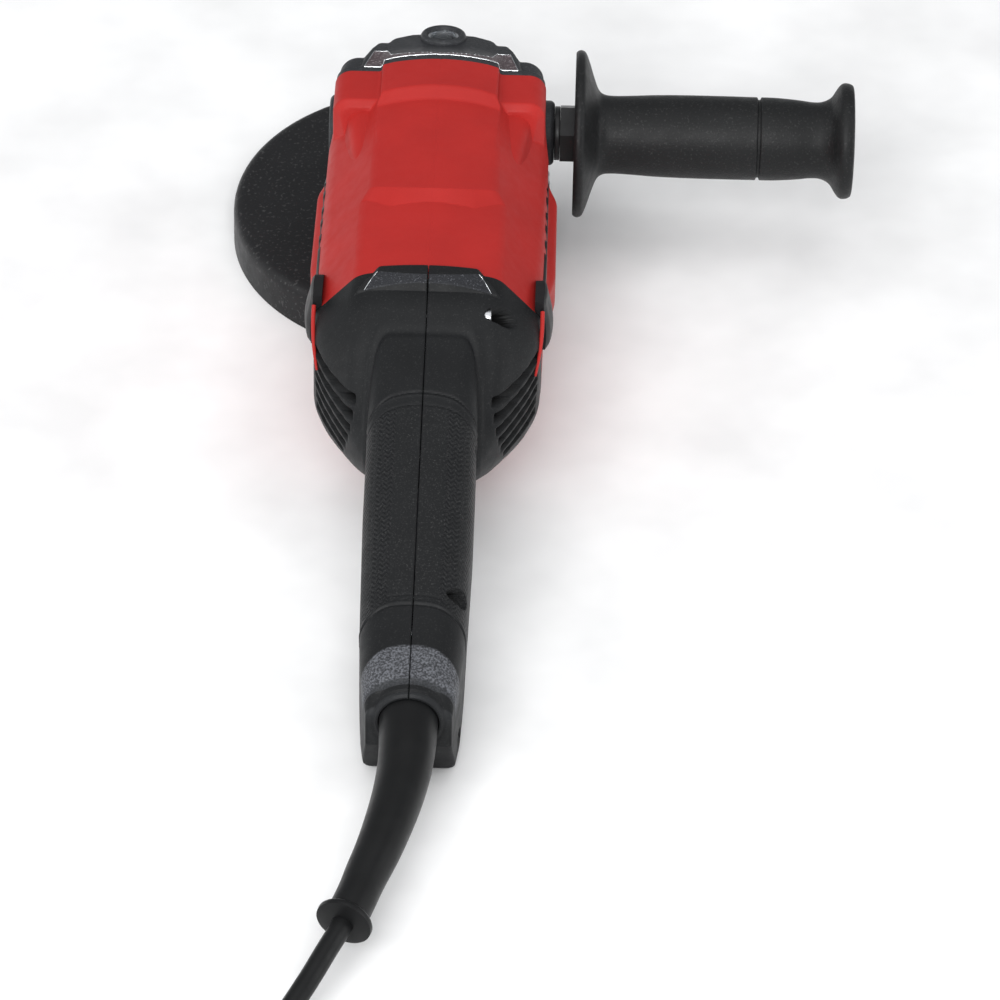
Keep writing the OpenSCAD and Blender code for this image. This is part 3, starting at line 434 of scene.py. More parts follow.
CORD_D = 9.0
ROW = CORD_D * 1.01
REST_Z = FLOOR_Z + CORD_D / 2
CORD_ROUTE = [
    [0, -350, 23], [0, -372, 22.5], [0, -396, 22], [0, -412, 20.8], [-1, -426, 19], [-3, -440, 18],
    [-6, -455, 17], [-9.5, -469, 15.5], [-13.5, -482, 14], [-17.5, -496, 12.5], [-22, -509, 10.5],
    [-27.5, -521, 8], [-33, -533, 5], [-39, -545, 2], [-47, -560, -2], [-55, -577, -5.5], [-62, -596, -7.2],
    [-67, -618, REST_Z], [-70, -645, REST_Z], [-71, -668, REST_Z]]
TAIL_ROUTE = [[-30, -724, 28.8], [-14, -735, 28.8], [4, -743, 22], [22, -748, 15], [40, -751, 9],
              [57, -752, 6.8], [74, -752, 6.5]]
COIL_CENTRE = (-8, -680)
COIL_RADII = (63.1, 54.0, 44.9)
TIE_ANGLE = 110.0
# (radius, row) of each turn: out at the bottom and up, then down beside it, then up inside.
TURNS = [(0, 0), (0, 1), (0, 2), (0, 3), (1, 3), (1, 2), (1, 1), (1, 0), (2, 1.5), (2, 3)]
# The angles of each turn, from its start, over which it moves to its place. Later kinds move first.
MOVES = {0: (215, 285), 1: (95, 150), 2: (20, 80)}
MOVE_IN = (150, 215)


def coil_point(turn, angle):
    here, before = TURNS[turn], TURNS[max(turn - 1, 0)]
    crossing = here[0] != before[0]
    u = float(step(*(MOVE_IN if crossing and here[0] == 1 else MOVES[here[0]]), angle))
    rise = u
    if here[0] == 2:
        # The inner turns climb all the way round, once clear of the turns outside them.
        clear = MOVES[2][1] if crossing else 0
        rise = max(angle - clear, 0) / (360 - clear)
    r = COIL_RADII[before[0]] * (1 - u) + COIL_RADII[here[0]] * u
    z = REST_Z + ROW * (before[1] * (1 - rise) + here[1] * rise)
    a = (180 + angle) % 360
    z += 1.3 * math.exp(-((a - TIE_ANGLE) / 14) ** 2)
    a = math.radians(a)
    return [COIL_CENTRE[0] + r * math.cos(a), COIL_CENTRE[1] + r * math.sin(a), z]


def cord_points():
    points = [list(p) for p in spline(CORD_ROUTE, 4)]
    for turn in range(len(TURNS)):
        points += [coil_point(turn, 360 * k / 40) for k in range(40)]
    top = points[-1]
    # From the last turn, up and out to the start of the tail.
    end_r = math.hypot(TAIL_ROUTE[0][0] - COIL_CENTRE[0], TAIL_ROUTE[0][1] - COIL_CENTRE[1])
    for k in range(8):
        u = k / 8
        s = float(step(0, 1, u))
        a = math.radians(180 + 63.4 * u)
        r = COIL_RADII[2] + (end_r - COIL_RADII[2]) * s
        points.append([COIL_CENTRE[0] + r * math.cos(a), COIL_CENTRE[1] + r * math.sin(a),
                       top[2] + (TAIL_ROUTE[0][2] - top[2]) * s])
    return points + [list(p) for p in spline(TAIL_ROUTE, 4)]


cord_line = np.array(cord_points())
curve = bpy.data.curves.new("mains_cord", "CURVE")
curve.dimensions = "3D"
curve.bevel_depth = CORD_D / 2 * MM
curve.bevel_resolution = 5
curve.use_fill_caps = True
run = curve.splines.new("POLY")
run.points.add(len(cord_line) - 1)
for target, point in zip(run.points, cord_line):
    target.co = (*(point * MM), 1)
curve.materials.append(RUBBER)
cord = bpy.data.objects.new("mains_cord", curve)
bpy.context.scene.collection.objects.link(cord)
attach(cord, "housing")
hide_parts("power_cord", "cord_coil", "cord_tail")

# The sleeve that keeps the cord from kinking, with its end ring.
sleeve_line = np.concatenate([[[0, -381, 22], [0, -388, 22]], spline(CORD_ROUTE[2:11], 8)])
run_length = np.concatenate([[0], np.cumsum(np.linalg.norm(np.diff(sleeve_line, axis=0), axis=1))])
reached = np.linspace(0, run_length[-1], 130)
fine_line = np.stack([np.interp(reached, run_length, sleeve_line[:, k]) for k in range(3)], -1)
left = run_length[-1] - reached
taper = 12.35 - 3.75 * np.clip((reached - 16) / 95, 0, 1)
end_ring = 3.2 * np.clip(1 - ((left - 2.3) / 2.3) ** 6, 0, 1) * (left < 4.7)
rounding = -1.2 * step(1.0, 0.0, left)
sleeve = piece("cable_sleeve_rubber", sweep_tube(fine_line, taper + end_ring + rounding, 48, bore=4.55),
               RUBBER, ["cable_sleeve"], 50)

# The plug, with grip ribs, and its round pins from the CAD.
plug_profile = [(0, 0, 0), (6.4, 0, 1), (7.4, 4, 2), (8.8, 12, 3), (12.8, 18, 3), (16.8, 21, 2),
                (18.4, 24, 2)]
for k in range(5):
    y0 = 26 + 3 * k
    plug_profile += [(18.4, y0, 0.4), (17.5, y0 + 0.6, 0.3), (17.5, y0 + 1.5, 0.3), (18.4, y0 + 2.1, 0.4)]
plug_profile += [(18.4, 42.6, 1.2), (17.2, 44, 0.8), (0, 44, 0)]
plug = piece("plug_rubber", turned(plug_profile, "x", TAIL_ROUTE[-1], steps=3),
             RUBBER, ["plug_body"], 40)

# The hook-and-loop tie round the coil's turns: rings outside from edge to edge, then back inside.
TIE_AXIS = math.radians(TIE_ANGLE)
TIE_OUT = np.array([math.cos(TIE_AXIS), math.sin(TIE_AXIS), 0])
TIE_ALONG = np.array([-TIE_OUT[1], TIE_OUT[0], 0])
TIE_MID = np.array([*COIL_CENTRE, REST_Z + 1.3 + 1.5 * ROW]) + TIE_OUT * COIL_RADII[1]
TIE_STATIONS = (-8.0, -7.6, -4.0, 0.0, 4.0, 7.6, 8.0)
TIE_SIDES = 64


def tie_ring(s, thick):
    """A ring of the tie, s along it: a squared oval, drawn in a little at the outer edges."""
    a = 2 * np.pi * np.arange(TIE_SIDES) / TIE_SIDES
    drawn = 0.986 if thick and abs(s) == 8.0 else 1.0
    r, z = (drawn * size * np.sign(w) * np.abs(w) ** 0.42
            for size, w in ((14.4 + thick, np.cos(a)), (18.7 + 0.8 * thick, np.sin(a))))
    return TIE_MID + TIE_ALONG * s + np.outer(r, TIE_OUT) + np.outer(z, (0, 0, 1))


tie_v = np.concatenate([tie_ring(s, 1.0) for s in TIE_STATIONS]
                       + [tie_ring(s, 0.0) for s in TIE_STATIONS[::-1]])
tie_f = quads(2 * len(TIE_STATIONS), TIE_SIDES, wrap_rows=True, wrap_cols=True).tolist()
FABRIC = shader("tie_fabric", (0.020, 0.020, 0.022), 0.85, specular=0.1, grain=0.6, bump=1.0, vary=0.25)
tie = piece("coil_tie", (tie_v, outward(tie_v, tie_f)), FABRIC, (), 50)


# ---------- surfaces found along rays ----------

def outermost(inside, shape, start, stop=0.0, stride=0.8):
    """For each ray, the greatest distance between start and stop at which inside(distance) holds."""
    t = np.full(shape, float(start))
    hit = np.full(shape, float(stop))
    open_ray = np.ones(shape, bool)
    for _ in range(int((start - stop) / stride) + 1):
        here = inside(t)
        hit = np.where(open_ray & here, t, hit)
        open_ray &= ~here
        if not open_ray.any():
            break
        t = t - stride
    low, high = hit, hit + stride
    for _ in range(12):
        mid = (low + high) / 2
        here = inside(mid)
        low, high = np.where(here, mid, low), np.where(here, high, mid)
    return (low + high) / 2


def cast(field, ox, oz, dx, dz, y, reach, level=0.0):
    """Distance along each ray in its section to the outermost place where field falls below -level."""
    return outermost(lambda t: field(ox + t * dx, y, oz + t * dz) < -level, np.shape(y), reach)


def drop_onto(field, x, y):
    """Height of field's surface under each point."""
    return outermost(lambda z: field(x, y, z) < 0, np.shape(x), 112.0, 72.0, 0.3)


def slope(field, x, y, z, h=0.06):
    """The outward direction of field at each point."""
    g = np.stack([field(x + h, y, z) - field(x - h, y, z), field(x, y + h, z) - field(x, y - h, z),
                  field(x, y, z + h) - field(x, y, z - h)], -1)
    return g / np.maximum(np.linalg.norm(g, axis=-1, keepdims=True), 1e-9)


def corner_normals(verts, faces, vertex_normals, smooth_face):
    """One normal for each face corner: the vertex's own on smooth faces, the face's on the others."""
    out = []
    v = np.asarray(verts)
    for f, soft in zip(faces, smooth_face):
        if soft:
            out.append(vertex_normals[f])
        else:
            n = np.cross(v[f], v[np.roll(f, -1)]).sum(0)
            out.append(np.tile(n / max(np.linalg.norm(n), 1e-9), (len(f), 1)))
    return np.concatenate(out)


def join_rays(*parts):
    """Rays (x, z, x direction, z direction) given as parts that broadcast, one after the other."""
    return [np.concatenate(v, -1) for v in zip(*(np.broadcast_arrays(*part) for part in parts))]


def stations(*spans):
    """Values of y from (start, end, spacing) spans, one after the other."""
    out = []
    for a, b, gap in spans:
        n = max(int(round(abs(b - a) / gap)), 1)
        out += [a + (b - a) * k / n for k in range(n)]
    return np.array(out + [spans[-1][1]])


# ---------- motor housing ----------

def top_line(a, y):
    """Height of the red housing's top face; a is the distance from the middle."""
    start = 127.3 - 4.8 * (a / 26.5) ** 2
    end = np.interp(a, [0, 6, 18.5, 29.5], [133.9, 134.0, 135.2, 127.5])
    drop = 3 * np.clip((-y - start) / (end - start), 0, 1)
    curved = y + 1.4 * (a / 26.5) ** 2
    flat = soft_at(curved, 0.8, (-30, 108), (-53, 109), (-58.5, 105), (-131, 104.5))
    return flat - drop - 4 * (a / 27.5) ** 2


def housing_field(x, y, z):
    a = np.abs(x)
    bulge = 4.4 * hat(z, 31, 38, 53, 59) * hat(-y, 48, 66, 118, 152)
    w = at(y, (-30, 47.8), (-53, 50), (-129, 50.5), (-186, 50)) + bulge
    under = at(y, (-30, 21), (-53, 20), (-137, 20), (-186, 21))
    side = np.where(z > under + 20, a - w, corner(a - (w - 20), under + 20 - z, 20))
    facet = ((a - 27.5) * 1.1 + z - 100.5) / 1.487
    top = z - top_line(a, y)
    f = smax(smax(side, facet, 5), top, 1.4)
    half = at(y, (-30, 26.5), (-55, 26.5), (-58, 28), (-85, 26.6))
    block = np.maximum(smax(a - half, top, 1.3), smax(-88 - y, z - 130, 1))
    wing = corner(a - 40, z - 92.5, 8)
    end = smax(smax(wing, -56 - 0.2 * np.maximum(97 - z, 0) - y, 0.5), (wing - y - 53) / 1.414, 0.7)
    f = smin(smin(f, np.maximum(block, 60 - z), 1.0), np.maximum(end, 60 - z), 0.8)
    f = f + 0.22 * ridge(x, 0.4) * step(80, 95, z)
    return f


def cut_front(x, y, z):
    """The housing with its lower front cut back for the gear head's foot."""
    return np.maximum(housing_field(x, y, z), -np.maximum(z - 34, -46 - y))


def half_rays(x_top, z_top, x_low, z_low, counts, fan):
    """Rays over the right half of a section, from the top's middle to the bottom's."""
    n_top, n_side, n_low, n_under = counts
    side = np.arange(1, n_side) / n_side
    fan, low = np.radians(fan), -np.pi / 2 * np.arange(n_low + 1) / n_low
    return join_rays((x_top * (np.arange(n_top) / n_top) ** 1.15, z_top, 0.0, 1.0),
                     (x_top, z_top, np.cos(fan), np.sin(fan)),
                     (x_top + (x_low - x_top) * side, z_top + (z_low - z_top) * side, 1.0, 0.0),
                     (x_low, z_low, np.cos(low), np.sin(low)),
                     (x_low * (1 - np.arange(1, n_under + 1) / n_under), z_low, 0.0, -1.0))


def whole_ring(rays):
    """The right half's rays, then the left half's mirrored, as one loop."""
    ox, oz, dx, dz = rays
    mirror = slice(-2, 0, -1)
    return (np.concatenate([ox, -ox[mirror]]), np.concatenate([oz, oz[mirror]]),
            np.concatenate([dx, -dx[mirror]]), np.concatenate([dz, dz[mirror]]))


def ring_shell(name, field, ys, rays, mat, replaced, insets, wall=3.2):
    """A tube-like casing with flat ring faces at both ends. insets round the ends over a few stations."""
    rays = whole_ring(rays)
    m, n = len(ys), len(rays[0])
    ox, oz, dx, dz = (np.tile(v, (m, 1)) for v in rays)
    y = np.repeat(ys[:, None], n, 1)
    t = cast(field, ox, oz, dx, dz, y, 62.0, insets[:, None])
    x, z = ox + t * dx, oz + t * dz
    outer = np.stack([x, y, z], -1)
    inner = np.stack([x - wall * dx, y, z - wall * dz], -1)[[m - 1, m // 2, 0]]
    verts = np.concatenate([outer, inner]).reshape(-1, 3)
    rows = m + len(inner)
    faces = np.array(outward(verts, quads(rows, n, wrap_rows=True, wrap_cols=True).tolist()))
    vn = np.concatenate([slope(field, x, y, z), np.zeros_like(inner)]).reshape(-1, 3)
    soft = np.repeat(np.arange(rows), n) < m - 1
    return piece(name, (verts, faces), mat, replaced, normals=corner_normals(verts, faces, vn, soft))


housing_ys = stations((-30, -30.6, 0.15), (-30.6, -50, 2.4), (-50, -61, 0.3), (-61, -118, 2.2),
                      (-118, -138, 0.5), (-138, -185.4, 2.2), (-185.4, -186, 0.15))
housing_insets = np.interp(-housing_ys, [30, 30.15, 30.3, 30.6, 185.4, 185.7, 185.85, 186],
                           [0.6, 0.3, 0.12, 0, 0, 0.12, 0.3, 0.6])
housing_fan = np.concatenate([np.linspace(90, 73, 8, False), np.linspace(73, 60, 34, False),
                              np.linspace(60, 0, 57)])
housing_rays = half_rays(18, 80, 30, 41, (16, 36, 20, 8), housing_fan)
ring_shell("housing_shell", cut_front, housing_ys, housing_rays, RED, ["motor_housing"],
           housing_insets)


# ---------- rear handle shells ----------

SCREWS = [(-202, 89, 25), (-192, 36, 34), (-262, 60, 14), (-342, 45, 9.5), (-378, 0, 9)]
MOUTH_Z = 22.0


def dome_field(x, y, z):
    a = np.abs(x)
    w = soft_at(y, 4, (-184, 50.1), (-200, 49.3), (-214, 44.8), (-228, 38.8), (-242, 32), (-254, 25.6),
                (-264, 19.9), (-274, 13.9))
    zt = soft_at(y, 4, (-180, 102.6), (-190, 101.4), (-200, 99), (-214, 93.5), (-228, 86), (-242, 76),
                 (-254, 65), (-264, 54), (-274, 44))
    zb = soft_at(y, 4, (-184, 21), (-200, 21), (-214, 21.7), (-228, 24.2), (-242, 29.6), (-254, 36.9),
                 (-264, 45.3), (-274, 56))
    rt = at(y, (-184, 22), (-228, 24), (-264, 10))
    rb = at(y, (-184, 20), (-228, 20), (-264, 8))
    crown = 4 * (a / 27.5) ** 2
    top = corner(a - (w - rt), z - (zt - 3 - rt), rt)
    low = corner(a - (w - rb), zb + rb - z, rb)
    facet = ((a - 27.5) * 1.1 + z - (zt - 1.2)) / 1.487
    f = smax(np.maximum(top, low), facet, at(y, (-184, 2.5), (-205, 7), (-250, 18)))
    f = smax(f, z - (zt - crown), 2)
    return smax(f, -276 - y, 6)


def grip_field(x, y, z):
    a = np.abs(x)
    w = soft_at(y, 3, (-208, 21.5), (-221, 22.6), (-245, 23.5), (-300, 23.5), (-345, 22.5), (-362, 22),
                (-376, 21), (-386, 19.6), (-396, 17.8))
    zt = soft_at(y, 2.5, (-208, 92.2), (-221, 88.3), (-245, 82), (-300, 66), (-345, 51.5), (-362, 47.9),
                 (-376, 45.4), (-390.4, 41.6), (-391.6, 34), (-398, 24))
    zb = soft_at(y, 2, (-208, 36), (-221, 34), (-245, 31.5), (-300, 18.2), (-345, 7.2), (-362, -2),
                 (-376, -9.5), (-386, -12), (-396, -11.6))
    rt = at(y, (-208, 6.5), (-221, 7.5), (-245, 12), (-300, 15), (-345, 14), (-390, 13), (-391.5, 8),
            (-396, 2))
    rb = at(y, (-208, 12), (-300, 10), (-345, 9), (-376, 5), (-396, 4))
    top = corner(a - (w - rt), z - (zt - 1.6 - rt), rt)
    low = corner(a - (w - rb), zb + rb - z, rb)
    f = smax(np.maximum(top, low), z - (zt - 1.8 * (a / w) ** 2), 1.5)
    return smax(smax(f, -396 - y + 0.5 * np.maximum(10 - z, 0), 1.2), y + 206, 1.0)


LIP_END = -194.7


def lip_crest(a):
    """Where the lip's slope begins, a millimetres from the middle."""
    return -190.7 + 2.6 * (a / 20) ** 2


def shell_plain(x, y, z):
    """The handle shells' outer form without slots, recesses or grooves."""
    a = np.abs(x)
    dome = dome_field(x, y, z) + 3.2 * step(-200, -222, y) * (1 - step(24, 34, a)) * step(50, 60, z)
    grip = grip_field(x, y, z)
    # Collar round the cable's mouth: a lip, a recessed band and the mouth's ring.
    r = np.hypot(x, z - MOUTH_Z)
    collar_r = at(y, (-372, 19.6), (-389.4, 19.0), (-390.4, 18.4), (-391.0, 16.9), (-393.4, 16.2),
                  (-393.8, 15.4), (-395.4, 15.0), (-396, 14.2))
    collar = np.maximum(r - collar_r, y + 376)
    f = smin(smin(dome, grip, 1.2), collar, 0.8)
    # Raised lip over the red housing's edge, with the wedge's slope behind it.
    back = np.maximum(lip_crest(np.minimum(a, 26)) - y, 0)
    above = z - (103.6 - 2.2 * (a / 27.5) ** 2)
    lip = smax(above + 0.62 * back, (a - (21.5 + 0.9 * back) + 0.8 * np.maximum(above, -3)) / 1.28, 0.8)
    lip = smax(lip, LIP_END - y, 0.7)
    f = smin(f, np.maximum(lip, 80 - z), 0.5)
    # Crease where the grip rises out of the dome.
    crease = 0.7 * ridge(dome - grip - 0.4, 0.8) - 0.25 * ridge(dome - grip + 1.6, 0.9)
    return f + crease * step(-206, -214, y) * step(-266, -258, y)


def groove_depth(x, y, z):
    """Depth of the grooves and lines moulded in the handle's top."""
    a = np.abs(x)
    arch = y + 245 + 7 * (a / 22) ** 2
    end = y + 350.5 + 5 * (a / 20) ** 2
    upper = step(0, 4, z - at(y, (-245, 58), (-356, 26)))
    d = 0.75 * ridge(arch, 0.6) - 0.30 * ridge(arch + 1.5, 0.7) + 0.35 * ridge(arch + 6.5, 0.5)
    d = d + 0.6 * ridge(end, 0.55) - 0.25 * ridge(end - 1.3, 0.6)
    d = d + 0.25 * ridge(end - 5, 0.5) * step(13, 12, a)
    side_line = z - at(y, (-245, 66), (-300, 49.5), (-356, 30))
    d = d + 0.4 * ridge(side_line, 0.5) * step(17, 19, a) * hat(-y, 250, 254, 354, 356)
    d = d * upper * (y < -236)
    seam = 0.40 * ridge(x, 0.42)
    return d + seam


def shell_field(x, y, z):
    f = shell_plain(x, y, z) + groove_depth(x, y, z)
    a = np.abs(x)
    # Gills on both flanks.
    for k in range(6):
        zc = 66.8 - 5.3 * k + 0.06 * (y + 236)
        gill = smax(np.abs(z - zc) - 1.65, 29.3 + 1.05 * k - a, 0.7)
        gill = np.maximum(gill, smax(-y - 274, y + 200 + k, 0.5))
        f = smax(f, -np.maximum(gill, -6.5 - dome_field(a, y, z)), 0.6)
    for sy, sz, seat in SCREWS:
        f = smax(f, -np.maximum(np.hypot(y - sy, z - sz) - 4.3, seat - x), 0.6)
    return f


SLOT_Y = (-254.0, -339.5)
SLOT_X = 11.6


def shell_rays(ys):
    """Rays of the right half for each station: top, upper corner, flank, lower corner and underside."""
    n_top, n_fan, n_side, n_low, n_under = 16, 46, 96, 24, 10
    y = ys[:, None]
    x_top = at(y, (-184, 20), (-214, 18), (-228, 12), (-242, 8), (-362, 8), (-376, 3), (-396, 2))
    cap = at(y, (-184, 84), (-214, 82), (-228, 74), (-242, 62), (-256, 52), (-275, 50), (-300, 48),
             (-396, 48))
    x_low = at(y, (-184, 30), (-228, 24), (-256, 14), (-345, 13), (-362, 12), (-376, 8), (-396, 6))
    z_a = at(y, (-256, 56), (-275, 56), (-300, 50), (-345, 42), (-362, 32), (-376, 24), (-396, 23))
    z_b = at(y, (-256, 38), (-275, 36), (-300, 32), (-345, 20), (-362, 16), (-376, 14), (-386, 12),
             (-396, 12))
    flank = np.linspace(84, 35, n_side + 1)
    capped = np.where(flank > cap, cap + (flank - cap) * 0.05, flank)
    s = np.linspace(0, 1, n_side + 1)
    blend = step(-248, -272, y)
    side_z = capped * (1 - blend) + (z_a + (z_b - z_a) * s) * blend
    first = 0.2
    up = np.radians(90 - 90 * np.arange(n_fan) / n_fan)
    down = np.radians(-90 * np.arange(1, n_low + 1) / n_low)
    edge = np.where((y < SLOT_Y[0]) & (y > SLOT_Y[1]), SLOT_X, first)
    run_in = np.arange(1, n_under + 1) / n_under
    top_z, low_z = side_z[:, :1], side_z[:, -1:]
    return join_rays((first + (x_top - first) * (np.arange(n_top) / n_top) ** 1.6, top_z, 0.0, 1.0),
                     (x_top, top_z, np.cos(up), np.sin(up)),
                     (x_top + (x_low - x_top) * s, side_z, 1.0, 0.0),
                     (x_low, low_z, np.cos(down), np.sin(down)),
                     (x_low + (edge - x_low) * run_in, low_z, 0.0, -1.0))


shell_ys = stations((-184, -184.45, 0.15), (-184.45, -190, 0.9), (-190, -197.2, 0.3), (-197.2, -202.4, 0.8),
                    (-202.4, -216, 0.7), (-216, -258, 0.65), (-258, -266.5, 0.5), (-266.5, -335, 1.6),
                    (-335, -346, 0.45), (-346, -358, 0.45), (-358, -373, 1.0), (-373, -387, 0.7),
                    (-387, -396, 0.2))
shell_ys = np.unique(np.concatenate([shell_ys, [SLOT_Y[0] - 0.02, SLOT_Y[0] + 0.02, SLOT_Y[1] - 0.02,
                                                SLOT_Y[1] + 0.02]]))[::-1]


def rear_shell(side):
    """One half of the rear handle; side is 1 for the right half, which has the screws' recesses."""
    ys = shell_ys
    ox, oz, dx, dz = shell_rays(ys)
    m, n = ox.shape
    y = np.repeat(ys[:, None], n, 1)
    inset = np.repeat(np.interp(-ys, [184, 184.15, 184.3, 184.45, 395.6, 395.85, 396],
                                [0.45, 0.2, 0.06, 0, 0, 0.25, 0.6])[:, None], n, 1)

    def field(x, yy, z):
        return shell_field(side * x, yy, z)

    t = cast(field, ox, oz, dx, dz, y, 60.0, inset)
    x, z = ox + t * dx, oz + t * dz
    normals = slope(field, x, y, z)
    # Inner face: thicker where recesses and gills are, and round in the cable's mouth.
    cols = np.unique(np.concatenate([np.arange(0, n, 6), [n - 1]]))
    ti = cast(shell_plain, *[v[:, cols] for v in (ox, oz, dx, dz)], y[:, cols], 60.0)
    flank_wall = at(y[:, cols], (-184, 14), (-246, 14), (-262, 8.2), (-345, 8.2), (-376, 7))
    wall = 3.0 + flank_wall * dx[:, cols] ** 2
    ti = np.maximum(ti - wall, 0.3)
    xi, zi = ox[:, cols] + ti * dx[:, cols], oz[:, cols] + ti * dz[:, cols]
    xi = np.maximum(xi, ox[:, cols].clip(0.2, SLOT_X))
    # In the mouth the inner face is the round hole.
    mouth = step(-372, -380, ys)[:, None]
    vx, vz = x[:, cols], z[:, cols] - MOUTH_Z
    size = np.maximum(np.hypot(vx, vz), 1e-6)
    xi = xi * (1 - mouth) + (12.9 * vx / size) * mouth
    zi = zi * (1 - mouth) + (MOUTH_Z + 12.9 * vz / size) * mouth
    xi = np.maximum(xi, 0.2)
    xi[:, 0], xi[:, -1] = x[:, 0], x[:, -1]
    k = len(cols)
    loop_x = np.concatenate([x, xi[:, ::-1]], 1)
    loop_z = np.concatenate([z, zi[:, ::-1]], 1)
    loop_y = np.repeat(ys[:, None], n + k, 1)
    verts = np.stack([side * loop_x, loop_y, loop_z], -1).reshape(-1, 3)
    faces = [list(f) for f in quads(m, n + k, wrap_cols=True)]
    soft = np.tile(np.arange(n + k) < n - 1, m - 1).tolist()
    faces += [list(range(n + k))[::-1], list(range((m - 1) * (n + k), m * (n + k)))]
    soft += [False, False]
    faces = outward(verts, faces)
    vn = np.zeros((m, n + k, 3))
    vn[:, :n] = normals
    vn[:, :, 0] *= side
    vn = vn.reshape(-1, 3)
    # Regions of finish, and of painted light and shade: the panel's coarse and braided textures are real; the
    # collar's sheen, the lit rims and the recesses' shade are painted.
    vx, vy, vz = np.abs(verts[:, 0]), verts[:, 1], verts[:, 2]
    arch = vy + 251.5 + 7 * (vx / 22) ** 2
    upper = step(0, 6, vz - np.interp(-vy, [245, 356], [52, 20]))
    panel = step(0.5, -0.5, arch) * step(-349.5, -348.5, vy + 5 * (vx / 20) ** 2) * upper
    # The collar's band of painted sheen, a lighter colour standing in for light on it, over a real coarse
    # grain.
    collar = step(0.4, -0.4, vy + 372.6 + 6 * (vx / 19) ** 2) * step(-391.2, -390.6, vy) * step(18, 26, vz)
    # Painted highlights on the lit rims of the collar's lip and of the mouth's ring.
    ring_lit = hat(-vy, 388.9, 389.8, 390.8, 391.3) * step(16, 22, vz)
    ring_lit = np.maximum(ring_lit, 0.7 * hat(-vy, 393.9, 394.4, 395.8, 396.2) * step(18, 26, vz))
    # Painted shade in the recesses and gills, deeper than 0.9 mm under the plain outer form.
    painted_recess_shade = step(0.9, 3.2, -shell_plain(verts[:, 0], vy, vz)) * (np.tile(np.arange(n + k) < n, m))
    paint = {"coarse": panel, "braid": panel * hat(vx, 10.5, 11.5, 30, 31), "painted_sheen": collar,
             "light": ring_lit, "painted_recess_shade": painted_recess_shade}
    name = side_name(side)
    piece("rear_handle_" + name, (verts, faces), BLACK, ["rear_shell_" + name],
          normals=corner_normals(verts, faces, vn, soft), paint=paint)


for side in (-1, 1):
    rear_shell(side)


# ---------- guard ----------

GUARD_R, GUARD_TOP = 97.0, 9.5
guard_profile = [(42.0, 7.5, 0.3), (42.0, 9.5, 0.6), (GUARD_R, GUARD_TOP, 6.5), (GUARD_R, FLOOR_Z, 0.6),
                 (GUARD_R - 2.4, FLOOR_Z, 0.6), (GUARD_R - 2.4, 7.5, 4.5)]
piece("guard_hood_sheet", lathe_grid(round_profile(guard_profile, 8), 180, start=85, sweep=190),
      GUARD, ["guard_hood"], 40, "guard")

# ---------- side handle ----------

HANDLE_Z, FLANGE_X = 48.5, 61.2
grip_line = spline([(37.6, 0.1), (38.5, 1.3), (38.6, 2.9), (37.4, 4.6), (33.0, 6.4), (26.0, 8.7),
                    (20.8, 10.8), (18.6, 13.4), (18.0, 18), (18.3, 27), (18.9, 38), (19.2, 52), (19.25, 70),
                    (19.2, 84)], 6)
end_line = spline([(19.2, 86.4), (19.1, 93), (18.5, 102), (17.6, 110), (17.9, 114.5), (20.0, 118.5),
                   (24.3, 121.4), (26.3, 123.2), (26.8, 125.2), (26.2, 127.6), (24.5, 128.8), (18, 129.3)], 6)
SEAM = [(18.9, 84.4), (18.0, 84.7), (18.0, 85.7), (18.9, 86.0)]
handle_profile = [(0, 0), (36.8, 0), *grip_line, *SEAM, *end_line, (0, 129.5)]
handle_v, handle_f = lathe_grid(handle_profile, 128)
piece("side_handle_grip", (turn_to(handle_v, "x", (FLANGE_X, 0, HANDLE_Z)), handle_f),
      HANDLE, ["side_grip"], 32, "side_handle")


# ---------- gear head ----------

def head_field(x, y, z):
    a = np.abs(x)
    wide = 41 + 5.3 * step(2, -30, y)
    wall = np.where(y > 0, np.hypot(a, np.maximum(y, 0)) - wide, a - wide)
    ahead = np.maximum(y - 4, 0)
    base = smax(wall, z - (84 - 0.012 * a ** 2 - 0.55 * ahead - 0.006 * ahead ** 2), 7)
    # A collar that copies the red housing's outline.
    outline = housing_field(x, np.full_like(y, -36.0), z) + 0.45
    back = smax(outline, y + 25.5, 1.2)
    # The middle slopes down to a flat round the bore.
    ramp = at(y, (-5, 98.8), (-6.5, 99.3), (-22.5, 106.6), (-26.5, 107.5), (-31, 107.8)) - 4 * (a / 27.5) ** 2
    middle = smax(z - ramp, (a - 26.8 + 0.85 * np.maximum(z - 100.2, -1)) / 1.31, 1.0)
    middle = smax(middle, y + 5, 1.0)
    flat = smax(z - (99.3 - 0.186 * (y + 6.5) - 2.0 * (a / 25) ** 2), a - 25, 1.4)
    flat = smax(flat, y - (8.2 - 0.35 * np.maximum(a - 14, 0)), 2.0)
    flat = smax(flat, (a - 24 + 0.55 * (y - 3)) / 1.14, 1.6)
    # Shoulders that carry the inlay's ends, and lobes beyond them.
    shoulder_w = at(y, (2, 27), (0, 30), (-5, 32.5), (-13.5, 35.2), (-26.6, 37.0), (-31, 37.5))
    shoulder = smax(z - (100.1 - 0.16 * (y + 26.6)), a - shoulder_w, 1.6)
    shoulder = smax(shoulder, y - 1.5, 2.2)
    lobe = smax(corner(a - 37.6, z - 87.8, 9), y + 12, 3.5)
    lobe = np.maximum(lobe, 34 - a)
    f = smin(base, back, 1.2)
    for part in (lobe, shoulder, middle, flat):
        f = smin(f, part, 0.8)
    f = smax(f, 26.2 - z, 2.0)
    pocket = np.maximum(np.hypot(x, y - 4) - 8.5, 84 - z)
    return np.maximum(np.maximum(f, -pocket), -30.25 - y)


